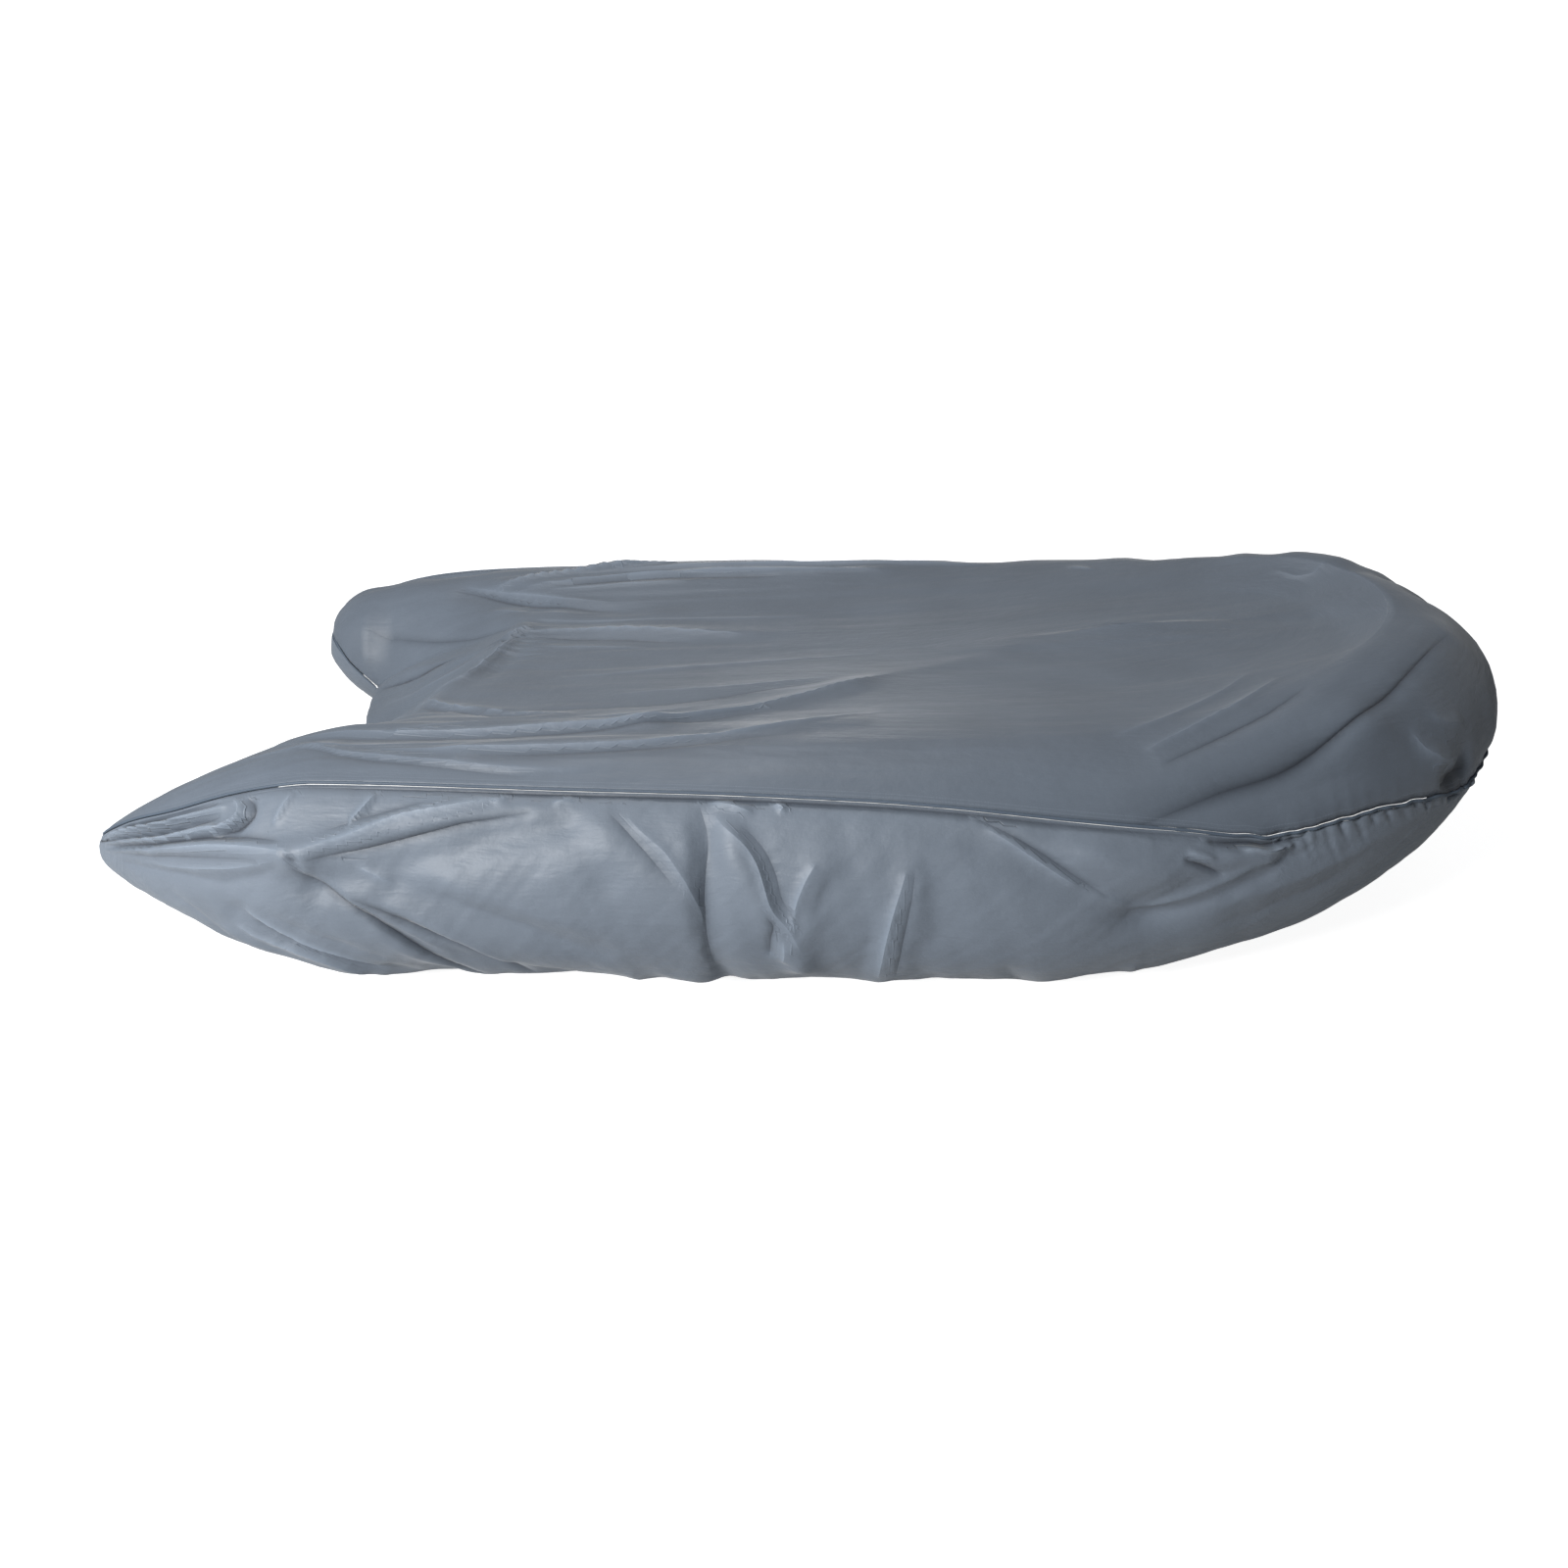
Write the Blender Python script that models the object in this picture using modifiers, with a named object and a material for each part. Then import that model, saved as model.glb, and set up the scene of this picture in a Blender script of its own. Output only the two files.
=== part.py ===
"""Fitted cloth cover for a small inflatable boat, hanging in the shape of its hull.

Metres, +Z up, +X to the bow, the near side at -Y. The hull sizes below are counted from the stern
(x = 0) and from the ground (z = 0). main() moves everything so that zero is the underside of the
deck cloth, in the middle of the cover.
"""
import bmesh
import bpy
import numpy as np
from math import pi, radians

# ---- driving dimensions ---------------------------------------------------------------------
LENGTH = 2.745           # stern to bow
HALF_BEAM = 0.79         # middle line to the widest part of a side
TUBE = 0.225             # radius of the round sides under the cloth
BOW_START = 1.58         # where the sides begin to close in
BOW_POWER = 2.13         # 2 is an ellipse, more is squarer
SHEER_START = 1.74       # where the sides begin to rise
SHEER_RISE = 0.109       # rise at the bow
BOW_THINNING = 0.06      # share of the radius that the sides lose towards the bow
CLOTH = 0.002            # thickness of the sheet
GAP = 0.0004             # between two sewn pieces
WELT = 0.004             # radius of the seam cord
WELT_PROUD = 0.0015      # how far its middle stands off the cloth
ORIGIN_X = 1.36          # hull place of the part's zero

NEAR, FAR = -1.0, 1.0
AFT = -0.1               # start of the side lines, aft of both stern tips
SIDE_LINE = HALF_BEAM - TUBE

# Stern tips: place, length and roundness of the taper, share of the radius in the nose, and how
# far the lower cloth is drawn forward. The near tip is drawn to a point, the far one is blunt.
NOSE_LENGTH = 0.01
RAKE_LENGTH = 0.20
PRONG = {NEAR: {"tip": 0.004, "length": 0.52, "power": 1.36, "nose": 0.17, "rake": 0.00},
         FAR: {"tip": -0.055, "length": 0.75, "power": 3.00, "nose": 0.17, "rake": 0.40}}

# ---- the deck, a row for each section ----------------------------------------------------------
# place along a side, the x that this section reaches on the middle line, and the height there
MIDDLE = {"along": (0.10, 0.30, 0.45, 0.58, 0.80, 1.30, 1.80, 2.20, 2.90),
          "x": (0.27, 0.40, 0.50, 0.60, 0.80, 1.26, 1.62, 1.82, 2.05),
          "z": (0.205, 0.270, 0.335, 0.388, 0.398, 0.404, 0.416, 0.436, 0.470)}
# the valley between the round side and the flat of the deck: share of the way in, share of the
# drop to the middle, and how long the cloth keeps to the round side
VALLEY = {NEAR: {"along": (0.10, 0.30, 0.48, 0.60, 0.90, 1.60, 2.40, 3.00),
                 "in": (0.33, 0.46, 0.48, 0.42, 0.36, 0.36, 0.38, 0.40),
                 "drop": (1.12, 0.88, 0.90, 0.85, 0.62, 0.60, 0.60, 0.60),
                 "hug": (2.30, 1.75, 1.45, 1.30, 1.25, 1.25, 1.30, 1.40)},
          FAR: {"along": (0.10, 0.30, 0.50, 0.64, 0.90, 1.60, 2.40, 3.00),
                "in": (0.33, 0.46, 0.56, 0.58, 0.44, 0.36, 0.38, 0.40),
                "drop": (1.12, 0.88, 0.90, 0.88, 0.66, 0.60, 0.60, 0.60),
                "hug": (2.30, 1.75, 1.45, 1.30, 1.25, 1.25, 1.30, 1.40)}}
SWEEP = 1.6              # how the sections curve aft on their way out to the sides

# folds of the top panel: (x, y) of both ends, width, height; a trough has a negative height
TOP_FOLDS = {"near crease, aft": (0.40, -0.50, 1.08, -0.46, 0.030, 0.008),
             "near crease, forward": (1.08, -0.46, 1.45, -0.23, 0.035, 0.007),
             "near gutter": (0.55, -0.56, 1.20, -0.52, 0.030, -0.006),
             "outer crease": (0.78, -0.60, 1.45, -0.46, 0.030, 0.006),
             "far gutter": (0.40, 0.47, 0.62, 0.34, 0.040, -0.010),
             "far gutter, forward": (0.62, 0.34, 0.88, 0.29, 0.035, -0.006),
             "far tension": (0.50, 0.49, 0.80, 0.58, 0.030, 0.008),
             "far tension, long": (0.58, 0.46, 1.50, 0.52, 0.035, 0.007),
             "corner pull": (0.63, 0.19, 1.20, 0.13, 0.035, 0.006),
             "stern board edge": (0.57, -0.27, 0.62, 0.20, 0.035, 0.012),
             "bow fold": (1.92, -0.70, 2.30, -0.52, 0.045, 0.012),
             "bow fold, forward": (2.30, -0.52, 2.56, -0.24, 0.050, 0.012),
             "bow hollow": (2.10, -0.70, 2.40, -0.56, 0.045, -0.010),
             "far shoulder": (2.24, 0.50, 2.32, 0.44, 0.080, 0.022),
             "far pinch": (2.36, 0.52, 2.44, 0.40, 0.030, -0.014)}

# ---- the side bands, a row for each section ------------------------------------------------------
# seam and hem as angles on the round side, in degrees up from level
SEAM = {NEAR: {"along": (0.00, 0.10, 0.20, 0.36, 1.00, 1.35, 1.66, 1.94, 2.10, 2.20, 2.32, 2.46,
                         2.60, 2.68, 2.72, 3.00),
               "angle": (68.0, 63.0, 58.0, 60.0, 57.0, 54.0, 48.0, 34.0, 22.0, 20.5, 14.0, 0.0,
                         -1.0, 0.0, 0.0, 0.0)},
        FAR: {"along": (-0.05, 0.10, 0.50, 1.30, 1.70, 2.00, 2.30, 2.60, 2.68, 2.72, 3.00),
              "angle": (50.0, 64.0, 66.0, 64.0, 56.0, 36.0, 16.0, 1.0, 0.0, 0.0, 0.0)}}
HEM = {"along": (-0.05, 1.80, 2.10, 2.45, 2.90),
       "angle": (-68.0, -68.0, -60.0, -50.0, -46.0)}
TIP_FACING = (-0.86, 0.0, 0.51)   # the way the cloth faces at a stern tip
NOTCH = 0.10             # where the hem of the stern notch meets the prongs
NOTCH_SEAM = 195.0       # seam angle there, on the prong's inner side
TIP_SEAM = 115.0         # seam angle just inside a stern tip
PUCKER = 2.455           # where the two bands meet, on the near shoulder of the bow

# folds of the near band: place along and share of the way down at both ends, width, height
NEAR_FOLDS = {"tip gather": (0.03, 0.05, 0.34, 0.04, 0.020, -0.010),
              "stern ridge": (0.04, 0.17, 0.52, 0.26, 0.030, 0.014),
              "rising ridge": (0.52, 0.26, 0.93, 0.03, 0.030, 0.013),
              "rising gutter": (0.56, 0.35, 0.98, 0.11, 0.030, -0.008),
              "falling fold": (0.52, 0.33, 0.92, 0.82, 0.028, -0.010),
              "falling fold, upper": (0.70, 0.36, 1.02, 0.56, 0.030, -0.007),
              "falling fold, lower": (0.62, 0.44, 0.78, 0.84, 0.025, 0.007),
              "stern gutter": (0.38, 0.50, 0.62, 0.78, 0.025, -0.009),
              "stern roll": (0.34, 0.64, 0.58, 0.84, 0.025, 0.009),
              "mid slant": (1.04, 0.06, 1.22, 0.50, 0.045, 0.006),
              "mid trough": (1.225, 0.08, 1.235, 0.88, 0.028, -0.011),
              "mid ridge": (1.25, 0.10, 1.38, 0.62, 0.028, 0.010),
              "mid fork": (1.41, 0.26, 1.37, 0.62, 0.025, 0.007),
              "low pleat": (1.56, 0.30, 1.50, 0.98, 0.030, 0.011),
              "bow sag, aft": (1.62, 0.03, 1.90, 0.36, 0.040, -0.012),
              "bow sag, forward": (1.90, 0.36, 2.12, 0.06, 0.040, -0.012),
              "bow belly": (1.76, 0.05, 2.00, 0.08, 0.070, 0.012)}
# folds of the far band, plainer
FAR_FOLDS = {"tip fold": (-0.02, 0.10, 0.30, 0.45, 0.030, -0.008),
             "slant": (0.45, 0.12, 0.85, 0.75, 0.035, -0.009),
             "trough": (1.20, 0.15, 1.24, 0.90, 0.030, -0.009),
             "ridge": (1.32, 0.10, 1.45, 0.80, 0.032, 0.009),
             "bow sag, aft": (1.62, 0.05, 1.90, 0.40, 0.040, -0.011),
             "bow sag, forward": (1.90, 0.40, 2.14, 0.08, 0.040, -0.010)}
# scallops of the hem: place along, half width, and how far the hem swings out and down
SCALLOPS = {NEAR: {"along": (0.62, 0.86, 1.07, 1.27, 1.52, 1.79, 1.98, 2.20),
                   "width": (0.07, 0.06, 0.06, 0.08, 0.06, 0.07, 0.06, 0.07),
                   "swing": (0.008, 0.006, 0.010, 0.014, 0.013, 0.012, 0.009, 0.007)},
            FAR: {"along": (0.40, 0.75, 1.10, 1.40, 1.70, 2.00, 2.35),
                  "width": (0.08, 0.08, 0.07, 0.08, 0.07, 0.08, 0.08),
                  "swing": (0.008, 0.010, 0.012, 0.012, 0.012, 0.010, 0.009)}}
BAND_DROP = 0.48         # cloth from seam to hem, used to measure across the folds

# ---- grid ------------------------------------------------------------------------------------
TIP_ROWS = (0.12, 0.25, 0.44, 0.70)           # share of the way from a tip to the notch
ROW_STEP = 0.048
CROWN_COLUMNS = 4
VALLEY_COLUMNS = 5
DECK_COLUMNS = 4
BAND_ROWS = 9
WELT_SIDES = 5
TRIM = WELT + GAP        # cloth edge to the middle of the seam cord
TIP_ROOM = 0.40          # share of TRIM that the side bands add at the stern tips
TIP_FADE = 0.06          # length over which that fades

GREY = (0.175, 0.199, 0.232, 1.0)
WELT_GREY = (0.205, 0.230, 0.262, 1.0)


def through(table, name, where):
    """Smooth curve through a table's rows: cubic pieces with the mean slope at each row."""
    x = np.array(table["along"])
    y = np.array(table[name])
    slope = np.gradient(y, x)
    where = np.clip(where, x[0], x[-1])
    k = np.clip(np.searchsorted(x, where) - 1, 0, len(x) - 2)
    width = x[k + 1] - x[k]
    t = (where - x[k]) / width
    return ((1 + 2 * t) * (1 - t) ** 2 * y[k] + t * (1 - t) ** 2 * width * slope[k]
            + t * t * (3 - 2 * t) * y[k + 1] + t * t * (t - 1) * width * slope[k + 1])


def fold_height(u, v, rows):
    """Sum of soft folds: each is a bell across the line between its ends, fading past them."""
    total = np.zeros(np.broadcast(u, v).shape)
    for u0, v0, u1, v1, width, height in rows.values():
        length = np.hypot(u1 - u0, v1 - v0)
        du, dv = (u1 - u0) / length, (v1 - v0) / length
        run = (u - u0) * du + (v - v0) * dv
        off = (v - v0) * du - (u - u0) * dv
        past = np.maximum(np.maximum(-run, run - length), 0.0)
        total = total + height * np.exp(-(off / width) ** 2 - (past / (1.5 * width)) ** 2)
    return total


def side_path(side, count=1201):
    """Middle line of a round side from the stern to the bow, straight and then a quarter of a
    superellipse: length along it, point and outward direction."""
    reach = LENGTH - TUBE - BOW_START
    turn = np.linspace(0.0, pi / 2, count)
    x = np.concatenate([np.linspace(AFT, BOW_START, count)[:-1],
                        BOW_START + reach * np.sin(turn) ** (2 / BOW_POWER)])
    y = np.concatenate([np.full(count - 1, SIDE_LINE),
                        SIDE_LINE * np.abs(np.cos(turn)) ** (2 / BOW_POWER)])
    along = np.concatenate([[AFT], AFT + np.cumsum(np.hypot(np.diff(x), np.diff(y)))])
    dx, dy = np.gradient(x, along), np.gradient(y, along)
    size = np.hypot(dx, dy)
    normal = np.stack([-dy / size, side * dx / size], 1)
    normal[-1] = (1.0, 0.0)
    return along, np.stack([x, side * y], 1), normal


def side_at(side, along):
    """Point, outward direction, radius and height of a round side's middle, at places along it."""
    table, point, outward = side_path(side)
    prong = PRONG[side]
    centre = np.stack([np.interp(along, table, point[:, k]) for k in (0, 1)], 1)
    normal = np.stack([np.interp(along, table, outward[:, k]) for k in (0, 1)], 1)
    past = np.maximum(along - prong["tip"], 0.0)
    taper = 1.0 - np.clip(1.0 - past / prong["length"], 0.0, 1.0) ** prong["power"]
    taper = taper ** (1.0 / prong["power"])
    nose = prong["nose"] ** 2 * (1.0 - np.exp(-past / NOSE_LENGTH)) * (1.0 - taper ** 2)
    rise = np.clip((centre[:, 0] - SHEER_START) / (LENGTH - TUBE - SHEER_START), 0.0, 1.0) ** 2
    radius = TUBE * np.sqrt(taper ** 2 + nose) * (1.0 - BOW_THINNING * rise)
    return centre, normal, radius, TUBE + SHEER_RISE * rise


def on_side(side, along, angle, lift=0.0):
    """Points over the round side for places along (rows) and angles up from level (columns)."""
    centre, normal, radius, height = side_at(side, along)
    radius = radius[:, None] + lift
    rake = PRONG[side]["rake"] * np.exp(-(along - PRONG[side]["tip"]) / RAKE_LENGTH)[:, None]
    x = centre[:, :1] + normal[:, :1] * radius * np.cos(angle)
    y = centre[:, 1:] + normal[:, 1:] * radius * np.cos(angle)
    up = radius * np.sin(angle)
    return np.stack([x + rake * np.maximum(0.02 - up, 0.0), y, height[:, None] + up], -1)


def outer_seam(side, along):
    return np.radians(through(SEAM[side], "angle", along))


def inner_seam(side, along):
    """Seam angle on a prong's inner side, falling from the tip to the notch."""
    share = (along - PRONG[side]["tip"]) / (NOTCH - PRONG[side]["tip"])
    return radians(TIP_SEAM) + radians(NOTCH_SEAM - TIP_SEAM) * np.clip(share, 0.0, 1.0) ** 0.7


def rows_along(side):
    """Places of the cross rows: close at the stern tip, then even to the pucker and to the bow."""
    last = side_path(side)[0][-1]
    tip = PRONG[side]["tip"]
    return np.concatenate([tip + (NOTCH - tip) * np.array(TIP_ROWS),
                           np.linspace(NOTCH, PUCKER, round((PUCKER - NOTCH) / ROW_STEP) + 1),
                           np.linspace(PUCKER, last, round((last - PUCKER) / ROW_STEP) + 1)[1:]])


def prong_rows(side):
    rows = rows_along(side)
    return rows[rows <= NOTCH + 1e-6]


def seam(side):
    """The seam from the notch, round the stern tip and along the outside to the bow: middle of the
    seam cord, edge of the top cloth and edge of the side band, TRIM to either side of it. The band
    keeps a little further off where the seam bends round the tip."""
    prong, rows = prong_rows(side), rows_along(side)
    along = np.concatenate([prong[::-1], rows])
    off = 1.0 + TIP_ROOM * np.exp(-(along - PRONG[side]["tip"]) / TIP_FADE)
    angle = np.concatenate([inner_seam(side, prong)[::-1], outer_seam(side, rows)])
    point = on_side(side, along, angle[:, None])[:, 0]
    outward = side_at(side, along)[1] * np.cos(angle)[:, None]
    normal = np.concatenate([outward, np.sin(angle)[:, None]], 1)
    count = len(prong)
    tip = 0.5 * (point[count - 1] + point[count])
    tip[0] = PRONG[side]["tip"]
    point = np.insert(point, count, tip, 0)
    normal = np.insert(normal, count, TIP_FACING, 0)
    off = np.insert(off, count, 1.0 + TIP_ROOM)[:, None]
    step = np.diff(point, axis=0)
    step /= np.linalg.norm(step, axis=1)[:, None]
    step = np.concatenate([step[:1], step, step[-1:]], 0)
    tangent = 0.5 * (step[:-1] + step[1:])
    tangent[-1] = (0.0, -side, 0.0)
    straight = np.linalg.norm(tangent, axis=1)[:, None]
    across = -side * np.cross(normal, tangent / straight)
    across *= TRIM / np.linalg.norm(across, axis=1)[:, None]
    return (point + WELT_PROUD * normal, point + across / np.maximum(straight, 0.8),
            point - across * off / np.maximum(straight, 0.5))


def angle_of(side, along, point):
    """Angle up from level of points near the round side, from -90 to 270 degrees."""
    centre, normal, _, height = side_at(side, along)
    out = ((point[:, :2] - centre) * normal).sum(1)
    return np.mod(np.arctan2(point[:, 2] - height, out) + pi / 2, 2 * pi) - pi / 2


def over_side(side, along, start, end, columns):
    """Top cloth over the round side between two angles, with the folds that cross it."""
    share = np.linspace(0.0, 1.0, columns + 1)[None, :]
    angle = start[:, None] + (end - start)[:, None] * share
    plain = on_side(side, along, angle)
    room = np.minimum(np.abs(angle - outer_seam(side, along)[:, None]) / 0.35, 1.0)
    lift = fold_height(plain[..., 0], plain[..., 1], TOP_FOLDS) * room ** 2
    return on_side(side, along, angle, lift)


def crown(side, along, edge):
    """Cloth from its outer edge at the seam up to the crest of the side."""
    cloth = over_side(side, along, angle_of(side, along, edge), np.full(len(along), pi / 2),
                      CROWN_COLUMNS)
    cloth[:, 0] = edge
    return cloth


def inner_crown(side, along, edge):
    """Cloth from a prong's crest down to its inner edge at the seam."""
    cloth = over_side(side, along, np.full(len(along), pi / 2), angle_of(side, along, edge),
                      VALLEY_COLUMNS)
    cloth[:, -1] = edge
    return cloth


def deck(side, along):
    """Cloth from the crest in to the middle line: round off the side, valley, then a slack flat."""
    centre, _, radius, height = side_at(side, along)
    top = (height + radius)[:, None]
    middle_x = through(MIDDLE, "x", along)[:, None]
    middle_z = through(MIDDLE, "z", along)[:, None]
    valley = through(VALLEY[side], "in", along)[:, None]
    valley_z = top - (top - middle_z) * through(VALLEY[side], "drop", along)[:, None]
    first = np.linspace(0.0, 1.0, VALLEY_COLUMNS + 1)[None, :]
    second = np.linspace(0.0, 1.0, DECK_COLUMNS + 1)[None, 1:]
    share = np.concatenate([first * valley, valley + second * (1.0 - valley)], 1)
    z = np.concatenate([top - (top - valley_z) * first ** through(VALLEY[side], "hug", along)[:, None],
                        valley_z + (middle_z - valley_z) * (1.0 - (1.0 - second) ** 2)], 1)
    x = centre[:, :1] + (middle_x - centre[:, :1]) * share ** SWEEP
    y = centre[:, 1:] * (1.0 - share)
    return np.stack([x, y, z + fold_height(x, y, TOP_FOLDS)], -1)


def top_grids(side):
    """The panel's two blocks on one side: the tongue over the prong, and the deck."""
    prong, rows = prong_rows(side), rows_along(side)
    edge = seam(side)[1]
    inner_edge, tip, outer_edge = np.split(edge, [len(prong), len(prong) + 1])
    main = rows[len(prong) - 1:]
    tongue = np.concatenate([crown(side, prong, outer_edge[:len(prong)]),
                             inner_crown(side, prong, inner_edge[::-1])[:, 1:]], 1)
    tongue = np.concatenate([np.broadcast_to(tip, (1,) + tongue.shape[1:]), tongue], 0)
    body = np.concatenate([crown(side, main, outer_edge[len(prong) - 1:]),
                           deck(side, main)[:, 1:]], 1)
    body[0, :tongue.shape[1]] = tongue[-1]
    return [tongue, body]


def hem_swing(side, along, down):
    """The hem's scallops: bells along the hem that grow towards the edge."""
    rows = SCALLOPS[side]
    wave = sum(swing * np.exp(-((along - place) / width) ** 2)
               for place, width, swing in zip(rows["along"], rows["width"], rows["swing"]))
    return wave[:, None] * down ** 3


def outer_band(side, along, edge, folds):
    """Side band over the outside of the hull, from its edge at the seam to the hem."""
    down = np.linspace(0.0, 1.0, BAND_ROWS + 1)[None, :]
    start = angle_of(side, along, edge)[:, None]
    hem = np.radians(through(HEM, "angle", along))[:, None]
    lift = fold_height(along[:, None], down * BAND_DROP,
                       {name: (a, b * BAND_DROP, c, d * BAND_DROP, w, h)
                        for name, (a, b, c, d, w, h) in folds.items()})
    radius = side_at(side, along)[2][:, None]
    room = np.minimum(down / 0.12, 1.0) ** 2 * np.minimum(radius / TUBE, 1.0)
    cloth = on_side(side, along, start + (hem - start) * down,
                    (lift + hem_swing(side, along, down)) * room)
    cloth[:, 0] = edge
    return cloth


def stern_band(side, edge, folds):
    """Side band from the notch along the prong's inner side and round its tip, seam to hem."""
    prong = prong_rows(side)
    inner_edge, tip_edge, outer_edge = np.split(edge, [len(prong), len(prong) + 1])
    down = np.linspace(0.0, 1.0, BAND_ROWS + 1)[None, :]
    start = angle_of(side, prong, inner_edge[::-1])[:, None]
    end = pi - np.radians(through(HEM, "angle", prong))[:, None]
    inner = on_side(side, prong, start + (end - start) * down)
    inner[:, 0] = inner_edge[::-1]
    first = outer_band(side, prong[:1], outer_edge[:1], folds)[0]
    tip = 0.5 * (inner[0] + first)
    tip[:, 0] += PRONG[side]["tip"] - prong[0]
    tip += (tip_edge[0] - tip[0]) * (1.0 - down[0])[:, None] ** 2
    return np.concatenate([inner[::-1], tip[None]], 0)


def near_band():
    rows, edge = rows_along(NEAR), seam(NEAR)[2]
    outer = edge[len(edge) - len(rows):]
    aft = rows <= PUCKER + 1e-6
    cloth = outer_band(NEAR, rows[aft], outer[aft], NEAR_FOLDS)
    cloth[-1] += (cloth[-2] - cloth[-1]) * 0.5 * GAP / np.linalg.norm(cloth[-2, 0] - cloth[-1, 0])
    return np.concatenate([stern_band(NEAR, edge, NEAR_FOLDS), cloth], 0)


def far_band():
    rows, edge = rows_along(FAR), seam(FAR)[2]
    outer = edge[len(edge) - len(rows):]
    near_rows, near_edge = rows_along(NEAR), seam(NEAR)[2]
    near_edge = near_edge[len(near_edge) - len(near_rows):]
    bow = near_rows >= PUCKER - 1e-6
    round_bow = outer_band(NEAR, near_rows[bow], near_edge[bow], {})
    round_bow[0] += (round_bow[1] - round_bow[0]) * 0.5 * GAP / np.linalg.norm(
        round_bow[1, 0] - round_bow[0, 0])
    return np.concatenate([stern_band(FAR, edge, FAR_FOLDS), outer_band(FAR, rows, outer, FAR_FOLDS),
                           round_bow[-2::-1]], 0)


def welt_lines():
    """Middle lines of the two seam cords, parted at the pucker."""
    near, far = seam(NEAR)[0], seam(FAR)[0]
    ahead = np.count_nonzero(rows_along(NEAR) > PUCKER + 1e-6)
    aft_part, bow_part = near[:len(near) - ahead].copy(), near[len(near) - ahead - 1:].copy()
    for line in (aft_part[::-1], bow_part):
        line[0] += (line[1] - line[0]) * GAP / np.linalg.norm(line[1] - line[0])
    return aft_part, np.concatenate([far, bow_part[-2::-1]], 0)


def sheet(name, grids):
    """One cloth from grids of outer points, joined where they meet, with its thickness inwards."""
    points, faces = [], []
    for grid in grids:
        rows, columns = grid.shape[:2]
        index = len(points) + np.arange(rows * columns).reshape(rows, columns)
        quads = np.stack([index[:-1, :-1], index[1:, :-1], index[1:, 1:], index[:-1, 1:]], -1)
        points += grid.reshape(-1, 3).tolist()
        faces += quads.reshape(-1, 4).tolist()
    mesh = bpy.data.meshes.new(name)
    mesh.from_pydata(points, [], faces)
    work = bmesh.new()
    work.from_mesh(mesh)
    bmesh.ops.remove_doubles(work, verts=work.verts[:], dist=1e-5)
    bmesh.ops.dissolve_degenerate(work, edges=work.edges[:], dist=1e-5)
    bmesh.ops.recalc_face_normals(work, faces=work.faces[:])
    work.faces.ensure_lookup_table()
    middle = sum((face.calc_center_median() for face in work.faces), work.faces[0].normal * 0)
    middle /= len(work.faces)
    middle.z = 0.0
    outward = sum((face.calc_center_median() - middle).dot(face.normal) * face.calc_area()
                  for face in work.faces)
    if outward < 0:
        bmesh.ops.reverse_faces(work, faces=work.faces[:])
    work.to_mesh(mesh)
    work.free()
    item = bpy.data.objects.new(name, mesh)
    solid = item.modifiers.new("Cloth", "SOLIDIFY")
    solid.thickness = CLOTH
    solid.offset = -1.0
    return item


def cord(name, line):
    """Seam cord: a ring of WELT_SIDES points carried along the line, with flat ends."""
    along = np.gradient(line, axis=0)
    along /= np.linalg.norm(along, axis=1)[:, None]
    across = np.cross(along, (0.0, 0.0, 1.0))
    across /= np.linalg.norm(across, axis=1)[:, None]
    up = np.cross(across, along)
    turn = np.arange(WELT_SIDES) * 2 * pi / WELT_SIDES
    ring = line[:, None] + WELT * (across[:, None] * np.cos(turn)[None, :, None]
                                   + up[:, None] * np.sin(turn)[None, :, None])
    count = len(line)
    index = np.arange(count * WELT_SIDES).reshape(count, WELT_SIDES)
    after = np.roll(index, -1, axis=1)
    quads = np.stack([index[:-1], after[:-1], after[1:], index[1:]], -1).reshape(-1, 4).tolist()
    mesh = bpy.data.meshes.new(name)
    mesh.from_pydata(ring.reshape(-1, 3).tolist(), [],
                     quads + [index[0].tolist(), index[-1].tolist()])
    work = bmesh.new()
    work.from_mesh(mesh)
    bmesh.ops.recalc_face_normals(work, faces=work.faces[:])
    work.to_mesh(mesh)
    work.free()
    return bpy.data.objects.new(name, mesh)


def material(name, colour, roughness):
    paint = bpy.data.materials.new(name)
    paint.use_nodes = True
    shader = paint.node_tree.nodes["Principled BSDF"]
    shader.inputs["Base Color"].default_value = colour
    shader.inputs["Roughness"].default_value = roughness
    shader.inputs["Metallic"].default_value = 0.0
    return paint


def main():
    for item in list(bpy.data.objects):
        bpy.data.objects.remove(item, do_unlink=True)
    group = bpy.data.collections.new("Boat cover")
    bpy.context.scene.collection.children.link(group)

    near_line, far_line = welt_lines()
    pieces = [(sheet("top_panel", top_grids(NEAR) + top_grids(FAR)), GREY, 0.50),
              (sheet("side_band_near", [near_band()]), GREY, 0.48),
              (sheet("side_band_far", [far_band()]), GREY, 0.48),
              (cord("welt_near", near_line), WELT_GREY, 0.45),
              (cord("welt_far", far_line), WELT_GREY, 0.45)]
    zero = np.array([ORIGIN_X, 0.0, deck_height() - CLOTH])
    for item, colour, roughness in pieces:
        corners = np.empty(len(item.data.vertices) * 3)
        item.data.vertices.foreach_get("co", corners)
        item.data.vertices.foreach_set("co", (corners.reshape(-1, 3) - zero).ravel())
        item.data.materials.append(material(item.name + " cloth", colour, roughness))
        item.data.shade_smooth()
        group.objects.link(item)


def deck_height():
    """Height of the deck cloth on the middle line at ORIGIN_X."""
    middle = deck(NEAR, rows_along(NEAR)[len(TIP_ROWS):])[:, -1]
    return float(np.interp(ORIGIN_X, middle[:, 0], middle[:, 2]))


if __name__ == "__main__":
    main()
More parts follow.
